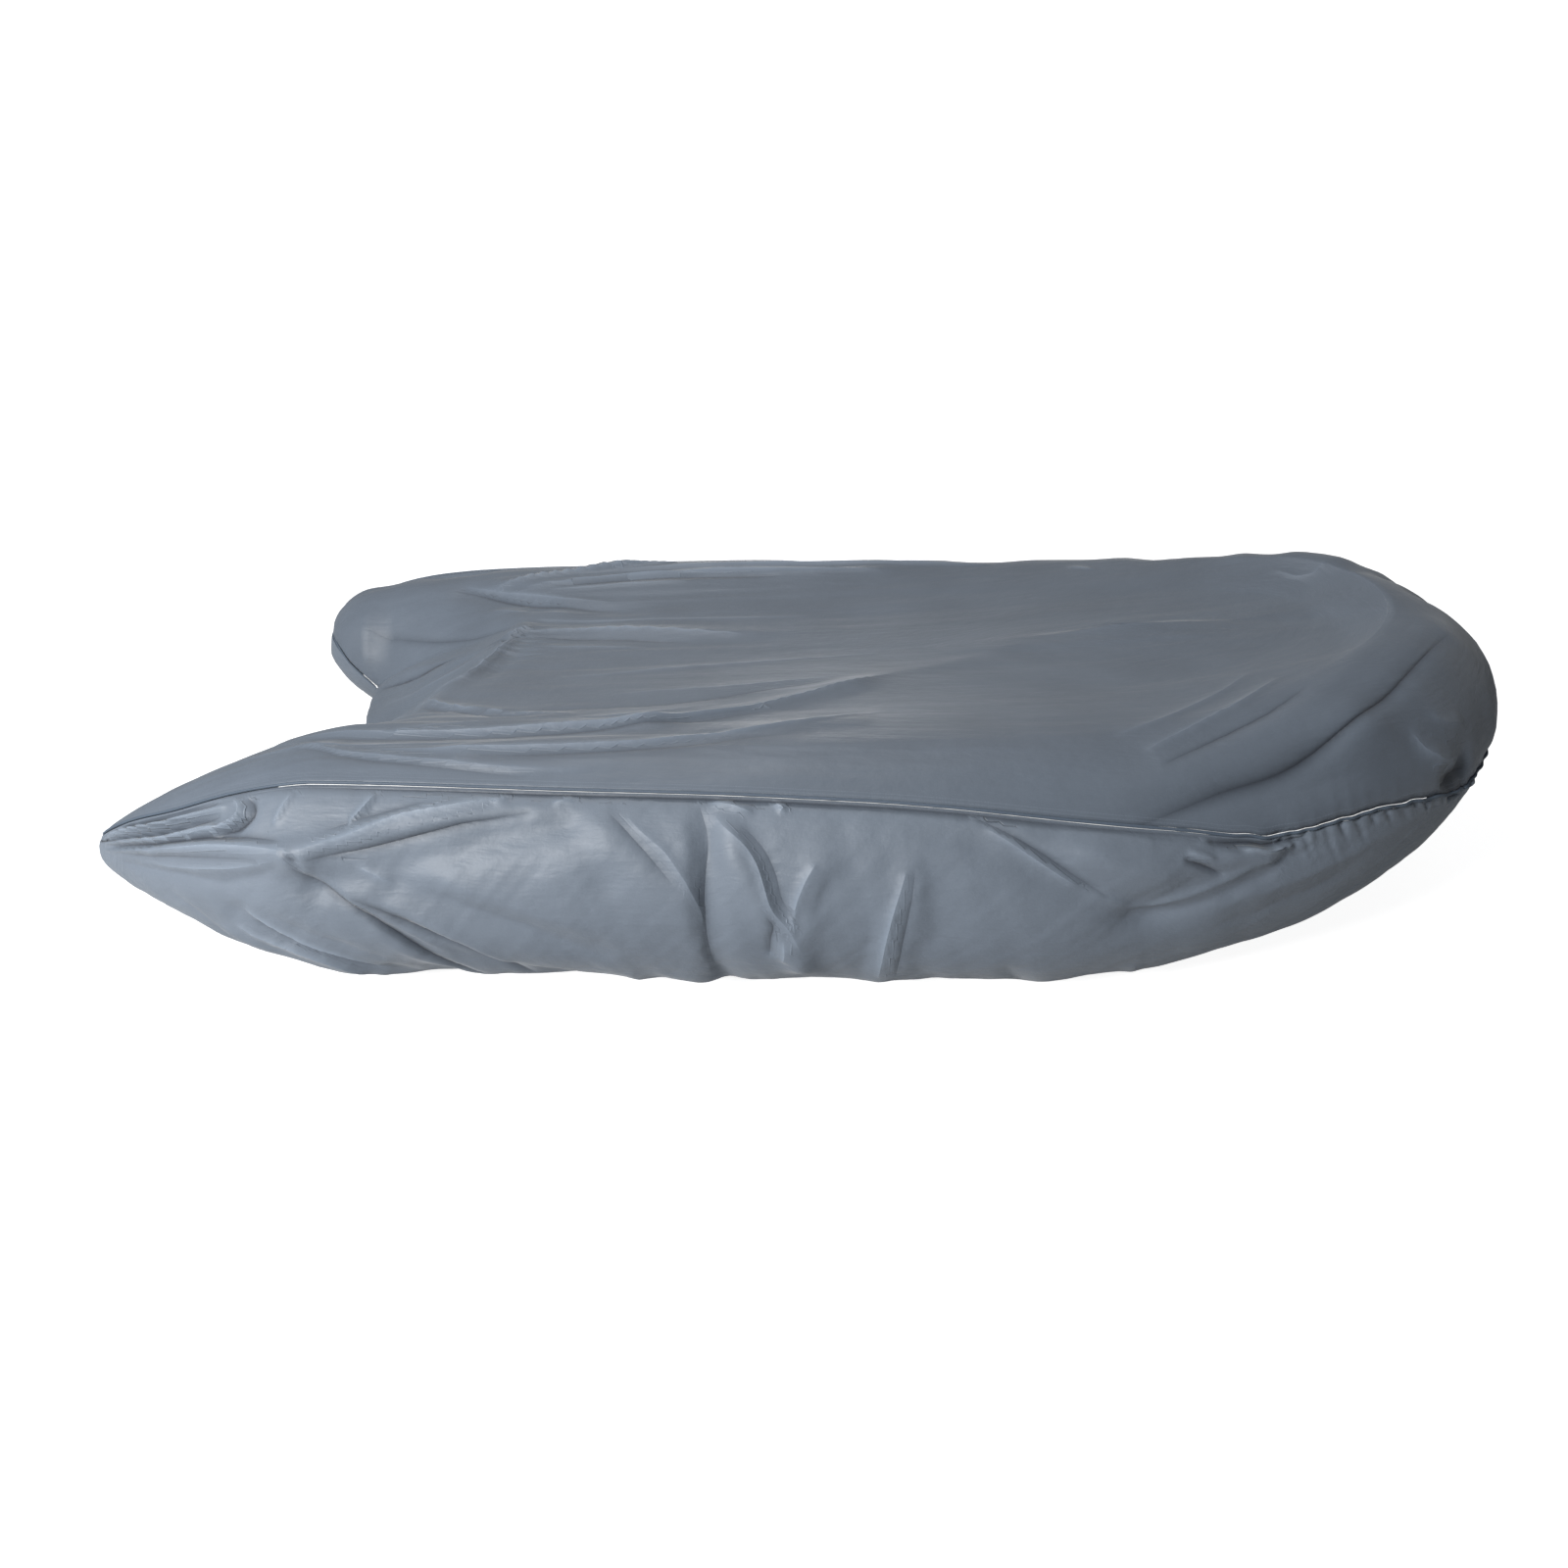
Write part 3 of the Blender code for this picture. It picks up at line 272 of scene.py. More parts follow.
# the same for the near band, its points in place along and thousandths of the way down
NEAR_CREASES = {
    "tip gather, upper": (5.5, -16.5, 0.0, (30, 80), (100, 45), (170, 30), (270, 22), (350, 20)),
    "tip gather, rib": (5.8, 16.5, 0.0, (30, 120), (100, 100), (170, 72), (270, 52), (370, 48)),
    "tip gather, middle": (5.5, -17.5, 0.0, (30, 165), (100, 152), (180, 125), (280, 98),
        (360, 88)),
    "tip gather, lower rib": (6.2, 12, 0.0, (40, 205), (120, 185), (200, 158), (290, 134),
        (360, 128)),
    "tip hole": (6, -21.7, 0.0, (80, 15), (102, 30), (130, 34)),
    "tip knot": (6, -14.5, 0.0, (12, 100), (30, 140), (60, 160)),
    "tip pouch": (5.2, 14, 0.0, (372, 20), (398, 55), (404, 92), (384, 125), (340, 144),
        (280, 156)),
    "tip pouch, gutter": (7, -10, 0.0, (402, 20), (424, 60), (427, 105), (402, 148), (340, 172)),
    "seam tick": (5.8, 7.5, 0.0, (506, 22), (497, 60), (488, 100), (474, 160)),
    "seam tick, second": (5.8, 7.5, 0.0, (654, 22), (643, 60), (632, 95), (610, 150)),
    "seam tick, third": (5, 4.5, 0.0, (1004, 16), (984, 30), (960, 46)),
    "seam tick, fourth": (5, 4, 0.0, (888, 14), (876, 35), (858, 55)),
    "stern ridge": (11, 10.6, 0.3, (30, 310), (120, 255), (236, 208), (340, 210), (430, 219),
        (540, 240)),
    "stern ridge, above": (11, -10, 0.0, (60, 255), (150, 210), (240, 172), (350, 172), (440, 186),
        (510, 206)),
    "stern ridge, under": (13, -4, 0.0, (100, 300), (240, 255), (360, 262), (480, 265)),
    "stern low": (14, -8.1, 0.0, (80, 410), (130, 378), (250, 352), (360, 375), (420, 342),
        (480, 300), (525, 262)),
    "stern low, lip": (13, 5, 0.0, (180, 318), (300, 312), (400, 300), (500, 262)),
    "rising ridge": (7.5, 9, -0.3, (520, 245), (550, 222), (616, 185), (700, 114), (790, 72),
        (880, 26)),
    "rising ridge, under": (9.5, -8.5, 0.0, (535, 272), (570, 252), (644, 226), (728, 180),
        (820, 125), (940, 70)),
    "rising ridge, upper": (13, -4.5, 0.0, (560, 175), (650, 110), (760, 42)),
    "node dimple": (10, -6, 0.0, (505, 235), (530, 262), (545, 300)),
    "falling fold": (7, -10.5, 0.0, (515, 275), (530, 308), (584, 395), (644, 470), (692, 567),
        (744, 700), (790, 850)),
    "falling fold, lip": (13.6, 8, 0.0, (548, 300), (605, 382), (670, 450), (722, 555), (775, 690)),
    "falling knife": (7, -10.5, 0.0, (605, 385), (640, 412), (708, 478), (784, 585), (848, 742),
        (880, 860)),
    "falling knife, lip": (13.6, 7, 0.0, (655, 390), (725, 450), (806, 560), (870, 710)),
    "falling broad": (17, -7.5, 0.0, (660, 300), (710, 340), (812, 417), (892, 475), (992, 575),
        (1060, 660)),
    "falling broad, lip": (18, 5.5, 0.0, (720, 282), (830, 345), (940, 415), (1030, 490)),
    "bright patch": (11, 5, 0.0, (620, 272), (650, 298), (700, 348)),
    "stern roll": (9, 10, 0.0, (390, 470), (432, 525), (484, 590), (560, 665), (630, 770)),
    "stern roll, gutter": (8, -8.5, 0.0, (400, 530), (455, 602), (530, 690), (600, 800)),
    "stern roll, lower": (8, 8, 0.0, (360, 560), (400, 612), (464, 672), (520, 735), (570, 830)),
    "stern roll, upper": (14, -6, 0.0, (420, 455), (480, 520), (560, 590), (650, 690)),
    "stern belly": (16, -5, 0.0, (200, 450), (280, 600), (360, 780)),
    "mid trough": (8.5, -4, -0.35, (1208, 15), (1213, 50), (1224, 100), (1228, 167), (1224, 242),
        (1220, 350), (1220, 492), (1222, 680)),
    "mid trough, left lip": (16, 4, 0.0, (1182, 40), (1196, 200), (1192, 360), (1190, 520)),
    "mid ridge": (6, 5, 0.0, (1236, 60), (1250, 105), (1274, 136), (1296, 177), (1311, 225),
        (1319, 280), (1331, 370), (1362, 445), (1380, 530)),
    "mid ridge, right": (13, -3, 0.0, (1272, 85), (1302, 128), (1326, 185), (1342, 260),
        (1350, 345), (1382, 430)),
    "mid fork": (7, 6, 0.0, (1410, 200), (1392, 260), (1377, 330), (1367, 400), (1370, 470)),
    "mid fork, right": (15, -5, 0.0, (1440, 220), (1415, 320), (1400, 440)),
    "mid slant": (7, 3, 0.0, (1088, 75), (1116, 130), (1160, 196), (1190, 283), (1214, 392),
        (1220, 470)),
    "mid slant, left": (13, -3.5, 0.0, (1050, 55), (1082, 108), (1128, 200), (1180, 317)),
    "mid crumple": (7.5, -6.2, 0.0, (1322, 385), (1336, 430), (1327, 483), (1322, 590)),
    "mid crumple, lip": (9, 5, 0.0, (1350, 470), (1352, 540), (1345, 620)),
    "mid seam fold": (6, 7, 0.0, (1226, 22), (1262, 30), (1306, 56)),
    "seam hook": (4.2, 7.5, 0.0, (1332, 12), (1352, 30), (1343, 58)),
    "left soft": (26, 3, 0.0, (1110, 130), (1032, 228), (964, 300), (890, 360)),
    "left soft, under": (28, -5, 0.0, (1120, 220), (1060, 310), (990, 380)),
    "low pleat": (5, 6, 0.0, (1552, 215), (1546, 260), (1531, 367), (1519, 483), (1511, 600),
        (1505, 720)),
    "low pleat, right": (7.5, -3.6, 0.0, (1566, 200), (1560, 320), (1548, 467), (1540, 600),
        (1535, 720)),
    "low pleat, halo": (24, -5, 0.0, (1572, 120), (1590, 250), (1598, 433), (1590, 600)),
    "low pleat, left": (16, -4.5, 0.0, (1500, 380), (1488, 550), (1470, 800)),
    "bow sag, crease": (5.8, -5.5, 0.0, (1650, 15), (1680, 42), (1714, 78), (1752, 132),
        (1800, 210), (1850, 295)),
    "bow sag, crease lip": (7, 6, 0.0, (1665, 48), (1712, 104), (1752, 165), (1806, 254)),
    "bow sag": (15, 9.5, 0.4, (1800, 235), (1845, 300), (1895, 350), (1951, 300), (2007, 215),
        (2055, 130), (2100, 50)),
    "bow sag, belly": (34, 8, 0.0, (1740, 45), (1840, 130), (1910, 190), (1990, 110)),
    "bow sag, under": (19, -7.5, 0.0, (1840, 360), (1900, 415), (1970, 350), (2040, 245),
        (2110, 130)),
    "bow tick": (4.5, -8, 0.0, (1943, 108), (1975, 142), (2012, 188)),
    "bow tick, lip": (5, 4.5, 0.0, (1950, 85), (1975, 95), (1998, 104)),
    "bow low": (24, 5.5, 0.0, (1950, 380), (2087, 275), (2211, 205), (2343, 105)),
    "bow low, under": (28, -5, 0.0, (1980, 500), (2120, 400), (2260, 310)),
    "end pinch": (7, -14, 0.0, (2405, 10), (2430, 30), (2452, 50)),
    "end pinch, lip": (7, 9, 0.0, (2458, 35), (2480, 22), (2505, 12)),
    "seam shadow": (5.2, -8.8, 0.0, (340, 11.5), (800, 11), (1200, 10.5), (1600, 11.5), (1900, 13),
        (2040, 15), (2130, 16)),
    "bow knot": (6, -15, 0.0, (1980, 28), (2050, 24), (2100, 30), (2140, 22)),
    "bow knot, lip": (5.5, 11, 0.0, (2030, 60), (2070, 50), (2120, 52)),
    "bow facet": (16, 6, 0.0, (1980, 60), (2020, 85), (2070, 90), (2120, 80)),
    "hem belly": (50, 13, 0.0, (1080, 660), (1140, 760), (1220, 820), (1300, 740)),
    "hem belly, stern": (50, 8.5, 0.0, (180, 660), (320, 740), (460, 800)),
    "hem slack, stern": (40, -6.5, 0.0, (600, 740), (700, 780), (820, 740)),
    "hem pull": (16, -5, 0.0, (1700, 600), (1730, 780), (1750, 960)),
    "hem pull, bow": (14, 4.5, 0.0, (1900, 660), (1920, 820), (1930, 960)),
    "hem pull, aft": (14, 4, 0.0, (1060, 700), (1070, 850), (1075, 960))}
# and for the far band
FAR_CREASES = {
    "tip rib": (10, 6.5, 0.3, (-30, 80), (80, 120), (220, 200), (360, 340)),
    "tip rib, under": (11, -5.5, 0.0, (-30, 150), (80, 200), (220, 310), (340, 460)),
    "slant": (12, -7, 0.0, (420, 80), (560, 260), (720, 500), (880, 800)),
    "slant, lip": (13, 5.5, 0.0, (480, 80), (620, 250), (780, 480), (930, 760)),
    "rising": (12, 5, 0.0, (950, 420), (1050, 240), (1150, 60)),
    "trough": (13, -7, 0.0, (1190, 80), (1210, 400), (1235, 920)),
    "ridge": (12, 7, 0.0, (1300, 60), (1370, 340), (1440, 740)),
    "bow sag": (20, -5.5, 0.0, (1620, 30), (1780, 200), (1900, 370), (2020, 220), (2140, 40)),
    "bow sag, lip": (20, 4.2, 0.0, (1680, 30), (1800, 150), (1900, 280), (1990, 160), (2060, 40)),
    "low pleat": (10, 7, 0.0, (1560, 400), (1540, 700), (1520, 960))}
NO_CREASES = {}

# rows of gathers at the seam: first and last place along, spacing, length, height
PUCKERS = {NEAR: ((0.36, 1.90, 0.041, 0.026, 0.0012), (2.06, 2.18, 0.019, 0.045, 0.0080),
                  (2.16, 2.31, 0.027, 0.056, 0.0150), (2.29, 2.46, 0.023, 0.030, 0.0080),
                  (2.44, 2.77, 0.038, 0.034, 0.0055)),
           FAR: ((0.20, 1.90, 0.046, 0.026, 0.0012), (1.95, 2.77, 0.037, 0.038, 0.0050))}
PUCKER_FADE = 0.03       # length over which a row of gathers starts and ends
PUCKER_KINDS = 97        # gathers after which their lengths and depths repeat
PUCKER_DRIFT = 0.30      # how far each strays along the seam, in spacings
PUCKER_CELL = 0.09       # length of such a stray
PUCKER_LEAN = 0.2        # how far they lean forward on their way down
TOP_GATHER = 0.40        # share of the gathers' height that the top panel shows
SEAM_WANDER = 0.0024     # how far the bow seam strays to either side
SEAM_SCALLOP = 0.0016    # and in and out
WANDER_START = 1.98      # where along a side that begins
WANDER_FADE = (0.10, 0.04)   # lengths over which it sets in there and dies out at the bow
WANDER_CELL = 0.028      # length of a stray to either side
SCALLOP_LENGTH = 0.033   # length of a wave in and out
SCALLOP_DRIFT = 0.09     # length over which those waves drift apart
# least share of their distance to the seam that its two edges keep where it bends
TOP_BEND, BAND_BEND = 0.8, 0.5

# ---- slackness -------------------------------------------------------------------------------
# layers of noise: slant, length and width of a cell, seed, height
TOP_SLACK = ((0.0, 0.42, 0.20, 13, 0.0028), (0.0, 0.19, 0.11, 14, 0.0012))
BAND_SWAY = ((0.0, 0.30, 0.20, 21, 0.0018), (0.4, 0.10, 0.16, 22, 0.0009))
BAND_PULL = ((-0.25, 0.035, 0.30, 23, 0.0011), (0.9, 0.016, 0.14, 26, 0.0005))
BAND_CRUMPLE = ((0.9, 0.11, 0.22, 27, 0.0016), (-0.8, 0.045, 0.15, 29, 0.0009))
HEM_RUFFLE = ((0.0, 0.021, 1.0, 24, 0.0016), (0.0, 0.060, 1.0, 25, 0.0035))
# height of the lines of tension: over the deck, what the stern adds to that, and on the prongs
TENSION = (0.0005, 0.0018, 0.0025)
TENSION_FINE = (0.0002, 0.0006, 0.0009)
STERN_PULL = (0.95, 0.45)   # where the stern's share begins to fade, and over what length
# distances from the edge over which the cloth's own forms set in, on deck, prong and band, and
# over which gathers do
DECK_CLEAR, PRONG_CLEAR, BAND_CLEAR, PUCKER_CLEAR = 0.018, 0.030, 0.012, 0.006
# ripples ahead of the stern board: their place, half length, half width, spacing and height
BOARD_RIPPLES = (0.68, 0.065, 0.17, 0.027, 0.0026)
BOW_CREST = 2.505        # where the two sides' crests meet; the cloth lies calm round it
BOW_CALM = 0.12          # radius of that calm

# ---- finish ----------------------------------------------------------------------------------
# one cloth in two greys: the side bands painted lighter and the top panel darker, as painted light
# and shade
TOP_SHADED_GREY = (0.096, 0.116, 0.144)
BAND_LIT_GREY = (0.124, 0.148, 0.181)
# the seam cord painted darker than the cloth, as painted shade along the seam
WELT_SHADED_GREY = (0.070, 0.092, 0.122)
FLOOR_WHITE = (0.52, 0.525, 0.53)
FLOOR_GLOW = 0.92
PLAIN = 0.60             # the plain cloth's colour as a share of a ridge's painted highlight
GUTTER_SHADE = (0.26, 0.26, 0.28)   # painted shade: a gutter's colour as a share of the plain cloth's
PAINTED_LIGHT_SHARE = 0.65        # a crease line's painted highlight and shade fall off at this share of its relief's speed
LINE_DEPTH = 0.0030      # relief of the sharpest crease lines
WEAVE_DEPTH = 0.00025    # relief of the weave
TOP_CRINKLE = 0.0032     # relief of the crinkles
BAND_CRINKLE = 0.0034
TOP_STITCHES = (0.0060, 0.0125)   # distance of each row of stitches from the sewn edge or the hem
BAND_STITCHES = (0.0030, HEM_WIDTH - 0.002)
STITCH_SHARE = 0.72      # share of a stitch's pitch that shows thread
THREAD_SHADE = 1.35      # the thread's colour as a share of the cloth's
RIB_PITCH = 0.004        # ribs of the seam cord

# ---- stage -----------------------------------------------------------------------------------
BOWL_RINGS = (0.0, 2.0, 4.0, 6.0)   # radii of the flat floor's rings
BOWL_FLAT = 7.0          # radius of the flat floor
BOWL_BEND = 3.0          # radius of the turn into the wall
BOWL_WALL = 5.0          # height of the wall
BOWL_STEPS = 25          # points of that turn
BOWL_SIDES = 96          # sides of each ring
# lights: place, the point each faces, width, power
LIGHTS = {"key": ((-3.1, -3.9, 2.5), (-0.1, 0.0, -0.15), 1.5, 410.0),
          "top": ((-1.0, 1.5, 4.2), (0.0, 0.0, 0.0), 0.9, 80.0),
          "rim": ((-0.4, 5.2, 0.45), (0.0, 0.4, 0.1), 1.4, 25.0)}
SKY = (0.96, 0.975, 1.0)
SKY_STRENGTH = 0.17
CAMERA = {"azimuth": 0.1051, "elevation": 0.4697, "roll": -0.0467, "distance": 2.4952,
          "target": (1.2786, 0.0, 0.0749), "lens": 24.0, "sensor": 36.0, "clip": (0.05, 100.0)}

# ---- grid ------------------------------------------------------------------------------------
CROWN_COLUMNS = 22       # columns from the seam to the crest of a side
VALLEY_COLUMNS = 32      # from there to the valley
DECK_COLUMNS = 28        # and on to the middle line
BAND_COLUMNS = {NEAR: 92, FAR: 48}   # from the seam to the hem
WELT_SIDES = 12
TIP_STEPS = 16           # rows from a stern tip to the notch
TIP_POWER = 1.3          # how their distances grow
TIP_FIRST = 0.05         # share of the way that lies before the first
TIP_PASSES = 6           # smoothing of the seam round a stern tip
TIP_SPAN = 8             # points to either side of the tip that it reaches
BOW_FINER = 1.90         # ahead of this the rows lie closer
BOW_STEP = 0.75          # their distance there, as a share of the distance elsewhere
BLEND = 0.048            # length over which a tongue passes into the deck
SEAM_CLEAR = 0.35        # angle from the seam over which the top panel's folds rise
MIDDLE_KEEP = 0.0002     # the least distance that either side's cloth keeps from the middle line
STEADY = 0.02            # share of the outward direction in each normal
CREASE_POINTS = 25       # points of a crease's line
CREASE_REACH = 5         # how far a crease reaches, in its widths
CREST_ROUND = 0.35       # share of a crease's width that is rounded at its top
ROUND_END = 2.6          # length over which a crease's ends rise, in its widths
LINE_REACH = 0.014       # how far from a crease its sharp line is known
LINE_FULL = 0.010        # crease height at which the line is fully sharp
SOFT_FROM = 0.0135       # wider creases have no sharp line
LATTICE = 64             # cells after which the noise repeats
SAME = 1e-6              # points closer than this are one


def through(table, name, where):
    """Smooth curve through a table's rows: cubic pieces with the mean slope at each row."""
    x = np.array(table["along"])
    y = np.array(table[name])
    slope = np.gradient(y, x)
    where = np.clip(where, x[0], x[-1])
    k = np.clip(np.searchsorted(x, where) - 1, 0, len(x) - 2)
    width = x[k + 1] - x[k]
    t = (where - x[k]) / width
    return ((1 + 2 * t) * (1 - t) ** 2 * y[k] + t * (1 - t) ** 2 * width * slope[k]
            + t * t * (3 - 2 * t) * y[k + 1] + t * t * (t - 1) * width * slope[k + 1])


def fold_height(u, v, rows):
    """Sum of soft folds: each is a bell across the line between its ends, fading past them."""
    total = np.zeros(np.broadcast(u, v).shape)
    for u0, v0, u1, v1, width, height in rows.values():
        length = np.hypot(u1 - u0, v1 - v0)
        du, dv = (u1 - u0) / length, (v1 - v0) / length
        run = (u - u0) * du + (v - v0) * dv
        off = (v - v0) * du - (u - u0) * dv
        past = np.maximum(np.maximum(-run, run - length), 0.0)
        total = total + height * np.exp(-(off / width) ** 2 - (past / (1.5 * width)) ** 2)
    return total


def crease_line(points, scale):
    """A crease's line: its points in metres, joined at even steps and smoothed twice by the mean of
    each point with its neighbours. Returns the line and its length."""
    corner = np.array(points) / 1000 * (1.0, scale)
    reach = np.concatenate([[0.0], np.cumsum(np.hypot(*np.diff(corner, axis=0).T))])
    place = np.linspace(0.0, reach[-1], CREASE_POINTS)
    line = np.stack([np.interp(place, reach, corner[:, k]) for k in (0, 1)], 1)
    for _ in range(2):
        line[1:-1] = (line[:-2] + 2 * line[1:-1] + line[2:]) / 4
    return line, reach[-1]


def nearest_on(line, a, b):
    """For points (a, b): distance to the nearest point of a line, how far along the line that is,
    from 0 to 1, and the side they lie on, 1 for the left."""
    near, run, side = np.full(a.shape, 1e9), np.zeros(a.shape), np.zeros(a.shape)
    for k in range(len(line) - 1):
        du, dv = line[k + 1] - line[k]
        t = np.clip(((a - line[k, 0]) * du + (b - line[k, 1]) * dv) / (du * du + dv * dv), 0.0, 1.0)
        off_a, off_b = a - line[k, 0] - t * du, b - line[k, 1] - t * dv
        gap = np.hypot(off_a, off_b)
        closer = gap < near
        near = np.where(closer, gap, near)
        run = np.where(closer, (k + t) / (len(line) - 1), run)
        side = np.where(closer, np.sign(du * off_b - dv * off_a), side)
    return near, np.clip(run, 0.0, 1.0), side


def creases(u, v, rows, scale=1.0):
    """Creases along bent lines: their summed height, and the nearest one as distance to its line
    (above 0 on the left) and sharpness. Across the line each height falls off as the exponential of
    the distance over the width, rounded at the very top, its left flank wider by the skew; along it
    the height swells from nothing at one end and dies out at the other."""
    u, v = np.broadcast_arrays(u, v)
    total, closest = np.zeros(u.shape), np.full(u.shape, 1e9)
    line_at = np.zeros(u.shape + (2,)) + (LINE_REACH, 0.0)
    for width, height, skew, *points in rows.values():
        width, height = width / 1000, height / 1000
        line, length = crease_line(points, scale)
        room = CREASE_REACH * width
        low, high = line.min(0) - room, line.max(0) + room
        close = (u > low[0]) & (u < high[0]) & (v > low[1]) & (v < high[1])
        if not close.any():
            continue
        near, run, side = nearest_on(line, u[close], v[close])
        soft = CREST_ROUND * width
        fall = np.exp(-(np.sqrt(near ** 2 + soft ** 2) - soft) / (width * (1.0 + skew * side)))
        edge = np.clip((room - near) / width, 0.0, 1.0)
        end = np.clip(np.minimum(run, 1.0 - run) * length / (ROUND_END * width), 0.0, 1.0)
        swell = np.sin(pi * run) ** 0.6 * end ** 2 * (3.0 - 2.0 * end)
        total[close] += height * swell * fall * edge
        if width < SOFT_FROM:
            nearer = near < closest[close]
            sharp = (np.clip(height / LINE_FULL, -1.0, 1.0) * swell
                     * np.clip(2.5 - 2.5 * near / LINE_REACH, 0.0, 1.0))
            closest[close] = np.where(nearer, near, closest[close])
            line_at[close] = np.where(nearer[:, None], np.stack([near * side, sharp], 1),
                                      line_at[close])
    return total, line_at


def soft_noise(u, v, cell_u, cell_v, seed):
    """Smooth noise from -1 to 1: random values on a lattice of cells, blended by the
    step t^3 (6 t^2 - 15 t + 10), which leaves no edge between cells."""
    u, v = np.broadcast_arrays(u / cell_u, v / cell_v)
    lattice = np.random.default_rng(seed).uniform(-1.0, 1.0, (LATTICE, LATTICE))
    i, j = np.floor(u).astype(int), np.floor(v).astype(int)
    s, t = (f ** 3 * (f * (6 * f - 15) + 10) for f in (u - i, v - j))
    i0, i1, j0, j1 = i % LATTICE, (i + 1) % LATTICE, j % LATTICE, (j + 1) % LATTICE
    return ((1 - s) * (1 - t) * lattice[i0, j0] + s * (1 - t) * lattice[i1, j0]
            + (1 - s) * t * lattice[i0, j1] + s * t * lattice[i1, j1])


def layers(u, v, rows, shape=np.positive):
    """Sum of noise layers, each with its own slant, cell, seed and height."""
    return sum(shape(soft_noise(u + slant * v, v, length, width, seed)) * height
               for slant, length, width, seed, height in rows)


def side_path(side, count=1201):
    """Middle line of a round side from the stern to the bow, straight and then a quarter of a
    superellipse: length along it, point and outward direction."""
    reach = LENGTH - TUBE - BOW_START
    turn = np.linspace(0.0, pi / 2, count)
    x = np.concatenate([np.linspace(AFT, BOW_START, count)[:-1],
                        BOW_START + reach * np.sin(turn) ** (2 / BOW_POWER)])
    y = np.concatenate([np.full(count - 1, SIDE_LINE),
                        SIDE_LINE * np.abs(np.cos(turn)) ** (2 / BOW_POWER)])
    along = np.concatenate([[AFT], AFT + np.cumsum(np.hypot(np.diff(x), np.diff(y)))])
    dx, dy = np.gradient(x, along), np.gradient(y, along)
    size = np.hypot(dx, dy)
    normal = np.stack([-dy / size, side * dx / size], 1)
    normal[-1] = (1.0, 0.0)
    return along, np.stack([x, side * y], 1), normal


def side_at(side, along):
    """Point, outward direction, radius and height of a round side's middle, at places along it.
    The radius grows from the nose of the stern tip by a power of the distance, and shrinks a little
    where the side rises, with the square of the way to the bow."""
    table, point, outward = side_path(side)
    prong = PRONG[side]
    centre = np.stack([np.interp(along, table, point[:, k]) for k in (0, 1)], 1)
    normal = np.stack([np.interp(along, table, outward[:, k]) for k in (0, 1)], 1)
    past = np.maximum(along - prong["tip"], 0.0)
    taper = 1.0 - np.clip(1.0 - past / prong["length"], 0.0, 1.0) ** prong["power"]
    taper = taper ** (1.0 / prong["power"])
    nose = prong["nose"] ** 2 * (1.0 - np.exp(-past / NOSE_LENGTH)) * (1.0 - taper ** 2)
    rise = np.clip((centre[:, 0] - SHEER_START) / (LENGTH - TUBE - SHEER_START), 0.0, 1.0) ** 2
    radius = TUBE * np.sqrt(taper ** 2 + nose) * (1.0 - BOW_THINNING * rise)
    return centre, normal, radius, TUBE + SHEER_RISE * rise


def on_side(side, along, angle, lift=0.0):
    """Points over the round side for places along (rows) and angles up from level (columns): the
    middle plus the radius times cosine outwards and sine upwards, the lower part drawn forward."""
    centre, normal, radius, height = side_at(side, along)
    radius = radius[:, None] + lift
    rake = PRONG[side]["rake"] * np.exp(-(along - PRONG[side]["tip"]) / RAKE_LENGTH)[:, None]
    x = centre[:, :1] + normal[:, :1] * radius * np.cos(angle)
    y = centre[:, 1:] + normal[:, 1:] * radius * np.cos(angle)
    up = radius * np.sin(angle)
    return np.stack([x + rake * np.maximum(RAKE_ABOVE - up, 0.0), y, height[:, None] + up], -1)


def outer_seam(side, along):
    """Seam angle on the outside of a round side."""
    return np.radians(through(SEAM[side], "angle", along))


def inner_seam(side, along):
    """Seam angle on a prong's inner side, which turns from the tip to the notch by the power 0.7
    of the way there."""
    share = (along - PRONG[side]["tip"]) / (NOTCH - PRONG[side]["tip"])
    return radians(TIP_SEAM) + radians(NOTCH_SEAM - TIP_SEAM) * np.clip(share, 0.0, 1.0) ** 0.7


def rows_along(side, step):
    """Places of the cross rows: close at the stern tip, where they follow a power of their count,
    then even, and closer at the bow."""
    last = side_path(side)[0][-1]
    tip = PRONG[side]["tip"]
    share = np.linspace(0.0, 1.0, TIP_STEPS + 1)[1:-1] ** TIP_POWER
    share = TIP_FIRST + (1.0 - TIP_FIRST) * share
    runs = [tip + (NOTCH - tip) * share]
    for start, end, each in ((NOTCH, BOW_FINER, step), (BOW_FINER, PUCKER, BOW_STEP * step),
                             (PUCKER, last, BOW_STEP * step)):
        runs.append(np.linspace(start, end, round((end - start) / each) + 1)[:-1])
    return np.concatenate(runs + [[last]])


def prong_rows(side, step):
    """The cross rows from the stern tip to the notch."""
    rows = rows_along(side, step)
    return rows[rows <= NOTCH + SAME]


def relax(line, count):
    """Smooths a line round a stern tip, in place: each point's mean with its neighbours, over
    TIP_SPAN points to either side of the tip, TIP_PASSES times."""
    first, last = count - TIP_SPAN, count + TIP_SPAN + 1
    for _ in range(TIP_PASSES):
        line[first:last] = (line[first - 1:last - 1] + 2 * line[first:last]
                            + line[first + 1:last + 1]) / 4


